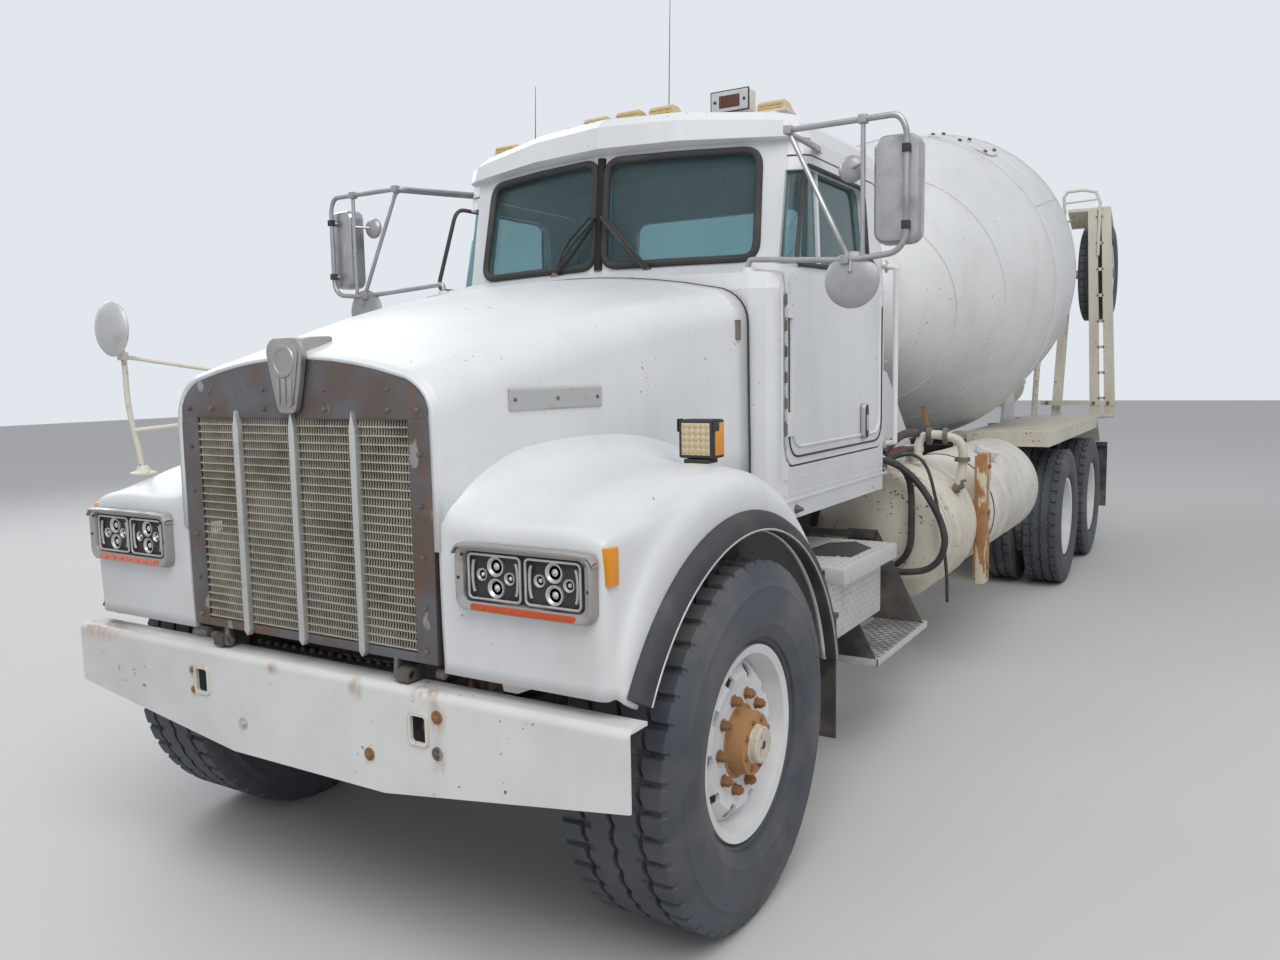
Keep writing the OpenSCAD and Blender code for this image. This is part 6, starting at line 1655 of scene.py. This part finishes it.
for z in (0.60, 0.90, 1.15):
    water.nut(at(1.1795, 3.66, z), (1, 0, 0), 0.024, 0.012, 2)
water_piece = water.done("cream_paint")
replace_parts(water_piece, "water_tank")
fuel = Part("fuel_tanks", "truck", tank_paint, trim_plastic, iron)
FUEL_X, FUEL_Z, FUEL_R = 0.850, 0.870, 0.3235
fuel.lathe(tank_profile(1.458, FUEL_R), at(FUEL_X, 3.791, FUEL_Z), (0, 1, 0), 0, 72)
for back, look in ((3.85, 1), (5.19, 0)):
    band(fuel, FUEL_X, FUEL_Z, back, FUEL_R, 0.010, look)
for back in (4.13, 4.93):
    band(fuel, FUEL_X, FUEL_Z, back, FUEL_R, 0.055, 0)
    fuel.plate([(back - 0.03, 0.78), (back + 0.03, 0.78), (back + 0.03, 0.96), (back - 0.03, 0.96)],
        "X", RAIL_FACE, 0.56, 2, 0.003)
fuel.lathe([(0, 0.062), (0.02, 0.060), (0.024, 0.070), (0.052, 0.070), (0.058, 0.05)],
    at(FUEL_X + 0.16, 4.32, FUEL_Z + 0.275), (0.4, 0, 1), 0, 32)
fuel_piece = fuel.done("white_paint", both=True)
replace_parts(fuel_piece, "fuel_tank")
print("tanks dressed")

# %% [markdown]
# The bumper is a bent plate with two windows for the tow hooks. Small things
# tell its age: pale rims, hooks in shadow and bolts that have gone to rust.

# %% Bumper fittings
bumper = Part("bumper_fittings", "truck", cream_paint, rust, stained_steel, iron, bar_metal)
for x in (-0.470, 0.470):
    for width, height, radius, size in ((0.069, 0.089, 0.014, 0.0050), (0.059, 0.079, 0.011, 0.0032)):
        rim = [at(x + a, 0.0045, 0.727 + b) for a, b in round_rect(width, height, radius)]
        bumper.pipe(rim + rim[:2], size, 0, 8)
    hook = [at(x, 0.120, 0.760), at(x, 0.060, 0.757), at(x, 0.036, 0.727), at(x, 0.060, 0.697),
        at(x, 0.120, 0.694)]
    bumper.pipe(flowing(hook, 5), 0.012, 3, 10)
bumper_bolts = ((-0.276, 0.617, 4), (0.277, 0.621, 1), (0.540, 0.772, 1), (0.537, 0.670, 2),
    (-0.520, 0.755, 1), (-0.518, 0.690, 1))
for x, z, look in bumper_bolts:
    big = 1.0 if x > -0.3 else 0.55
    bumper.lathe([(0, 0.019 * big), (0.0024, 0.019 * big), (0.003, 0.016 * big)], at(x, 0.0048, z),
        (0, -1, 0), look, 20)
    bumper.nut(at(x, 0.0022, z), (0, -1, 0), 0.022 * big, 0.007 * big, look)
bumper.done("steel")
print("rims, hooks and bolts of the bumper")

# %% [markdown]
# Between the bumper and the grille one looks into the truck: a dark cross
# member full of bolts, pale pivots of the hood and rusty spring hangers.

# %% Gear under the grille
under = Part("front_gear", "truck", frame_paint, cream_paint, rust, hose_rubber, iron)
under.box((-0.425, 0.135, 0.740), (0.425, 0.190, 0.826), 0, 0.006)
for side in (-1, 1):
    under.plate([(side * 0.260, 0.600), (side * 0.520, 0.600), (side * 0.520, 0.744),
        (side * 0.260, 0.744)], "Y", 0.150, 0.156, 0, 0.001)
for k in range(19):
    x = -0.378 + 0.042 * k
    under.nut(at(x, 0.162, 0.826), (0, 0, 1), 0.020, 0.010, 4)
    under.nut(at(x, 0.135, 0.786), (0, -1, 0), 0.018, 0.009, 4)
sagging = [at(-0.40, 0.210, 0.848), at(-0.2, 0.212, 0.838), at(0.05, 0.210, 0.834),
    at(0.25, 0.212, 0.840), at(0.40, 0.210, 0.850)]
for shift in (0.0, 0.032):
    under.pipe(flowing([p + Vector((0, shift, -shift * 0.3)) for p in sagging], 5), 0.013, 3, 10)
for x0, x1, z in ((-0.655, -0.585, 0.838), (0.325, 0.398, 0.848)):
    under.rod(at(x0, 0.125, z), at(x1, 0.125, z), 0.021, 1, 20)
    under.rod(at(x0 + 0.075, 0.135, z - 0.004), at(x1 + 0.060, 0.135, z - 0.004), 0.015, 1, 16)
for side in (-1, 1):
    outline = [(0.140, 0.735), (0.205, 0.735), (0.215, 0.790), (0.200, 0.850), (0.150, 0.850)]
    under.plate(outline, "X", side * 0.530, side * 0.544, 2, 0.003)
    under.plate(outline, "X", side * 0.590, side * 0.604, 2, 0.003)
    under.rod(at(side * 0.515, 0.178, 0.790), at(side * 0.620, 0.178, 0.790), 0.022, 4, 20)
    under.pipe(flowing([at(side * 0.60, 0.15, 0.80), at(side * 0.57, 0.14, 0.858),
        at(side * 0.50, 0.16, 0.835), at(side * 0.43, 0.18, 0.80)], 5), 0.011, 3, 8)
under.done("iron")
print("cross member, rods and brackets under the grille")

# %% [markdown]
# The drum empties behind the mouth: it pours into a collector, a chute and its
# folding end. Sheet steel this thin keeps its shape by rolled edges and ribs,
# so they follow the frame's own troughs, each riding on its own body.

# %% Rims and ribs of the hopper and the chutes
HOPPER_BACK = 9.1904
low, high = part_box("hopper")
rims = Part("hopper_rims", "truck", cream_paint)
for lift, radius in ((-0.013, 0.4395), (-0.150, 0.3585)):
    ring = [Vector((a, at(0, HOPPER_BACK, 0).y + b, high.z + lift)) for a, b in circle(radius, 64)]
    rims.pipe(ring + ring[:2], 0.012 if lift > -0.1 else 0.008, 0, 8)
rims.done("cream_paint")
CHUTE = Matrix.Translation(at(0, 9.0904, 1.700)) @ Matrix.Rotation(math.radians(-20), 4, "X")
FOLD = CHUTE @ Matrix.Translation((0, 0.740, 0.070)) @ Matrix.Rotation(math.radians(168), 4, "X")


def trough_trim(name, body, place, middle_z, radius, start, end, ribs):
    """Rolled edges along a trough, and ribs round its outside."""
    part = Part(name, body, cream_paint)
    lip = 0.040
    half = math.sqrt(radius ** 2 - lip ** 2)
    for side in (-1, 1):
        part.pipe([place @ Vector((side * half, y, middle_z + lip)) for y in (start, end)], 0.008, 0, 10)
    for y in ribs:
        arc = [math.radians(-8 - 164 * k / 24) for k in range(25)]
        part.pipe([place @ Vector((radius * math.cos(a), y, middle_z + radius * math.sin(a)))
            for a in arc], 0.007, 0, 8)
    part.done("cream_paint")


trough_trim("chute_edges", "main_chute", CHUTE, 0.0, 0.2365, -0.115, 0.625, (0.12, 0.40, 0.61))
trough_trim("fold_edges", "fold_chute", FOLD, -0.070, 0.2245, 0.090, 0.474, (0.10, 0.30, 0.465))
print("rims and ribs on the hopper and the chutes")

# %% [markdown]
# The back gets weld beads where the ladder's rungs meet its posts, a few nuts,
# and a short rubber hood on each tail lamp. They are small, but they show how
# the frame's plain solids are joined.

# %% Ladder dressing and lamps' hoods at the back
rear = Part("rear_dressing", "truck", rust, trim_plastic)
for x, z in ((1.050, 1.312), (1.180, 1.312), (0.620, 1.312)):
    rear.nut(at(x, 8.8525, z), (0, -1, 0), 0.030, 0.014)
for k in range(8):
    share = (k + 0.7) / 8
    z = 1.170 + share * 2.0
    for x in (1.104 - 0.078 * share, 1.152 - 0.080 * share):
        rear.lathe([(0, 0.011), (0.004, 0.009), (0.005, 0.002)], at(x, 8.858, z + 0.014), (0, -1, 0),
            0, 10)
for x in (-0.300, -0.180, 0.180, 0.300):
    rear.lathe([(0, 0.057), (0.004, 0.058), (0.016, 0.058), (0.018, 0.054), (0.012, 0.052), (0.0, 0.052)],
        at(x, 8.8505, 0.945), (0, 1, 0), 1, 32)
rear.done("iron")
print("welds, nuts and hoods at the back")

# %% [markdown]
# The floor is a plain pale plane, so nothing competes with the truck. It is
# marked as stage, so it is no part of the model.

# %% Floor
floor_mesh = bpy.data.meshes.new("floor")
floor_mesh.from_pydata([at(-40, -30, 0), at(40, -30, 0), at(40, 50, 0), at(-40, 50, 0)], [],
    [(0, 1, 2, 3)])
floor = bpy.data.objects.new("floor", floor_mesh)
bpy.context.scene.collection.objects.link(floor)
pale = Finish("pale_floor", (0.60, 0.585, 0.56), 0.9)
pale.cover(pale.noise(0.6, 6), (0.56, 0.54, 0.515), 0.6)
floor_mesh.materials.append(pale.done())
floor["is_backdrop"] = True
print("floor laid")

# %% [markdown]
# The box of what was made here is printed at the end.

# %% Size of what was made
low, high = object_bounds()
print("visual box", [round(v, 3) for v in low], [round(v, 3) for v in high])
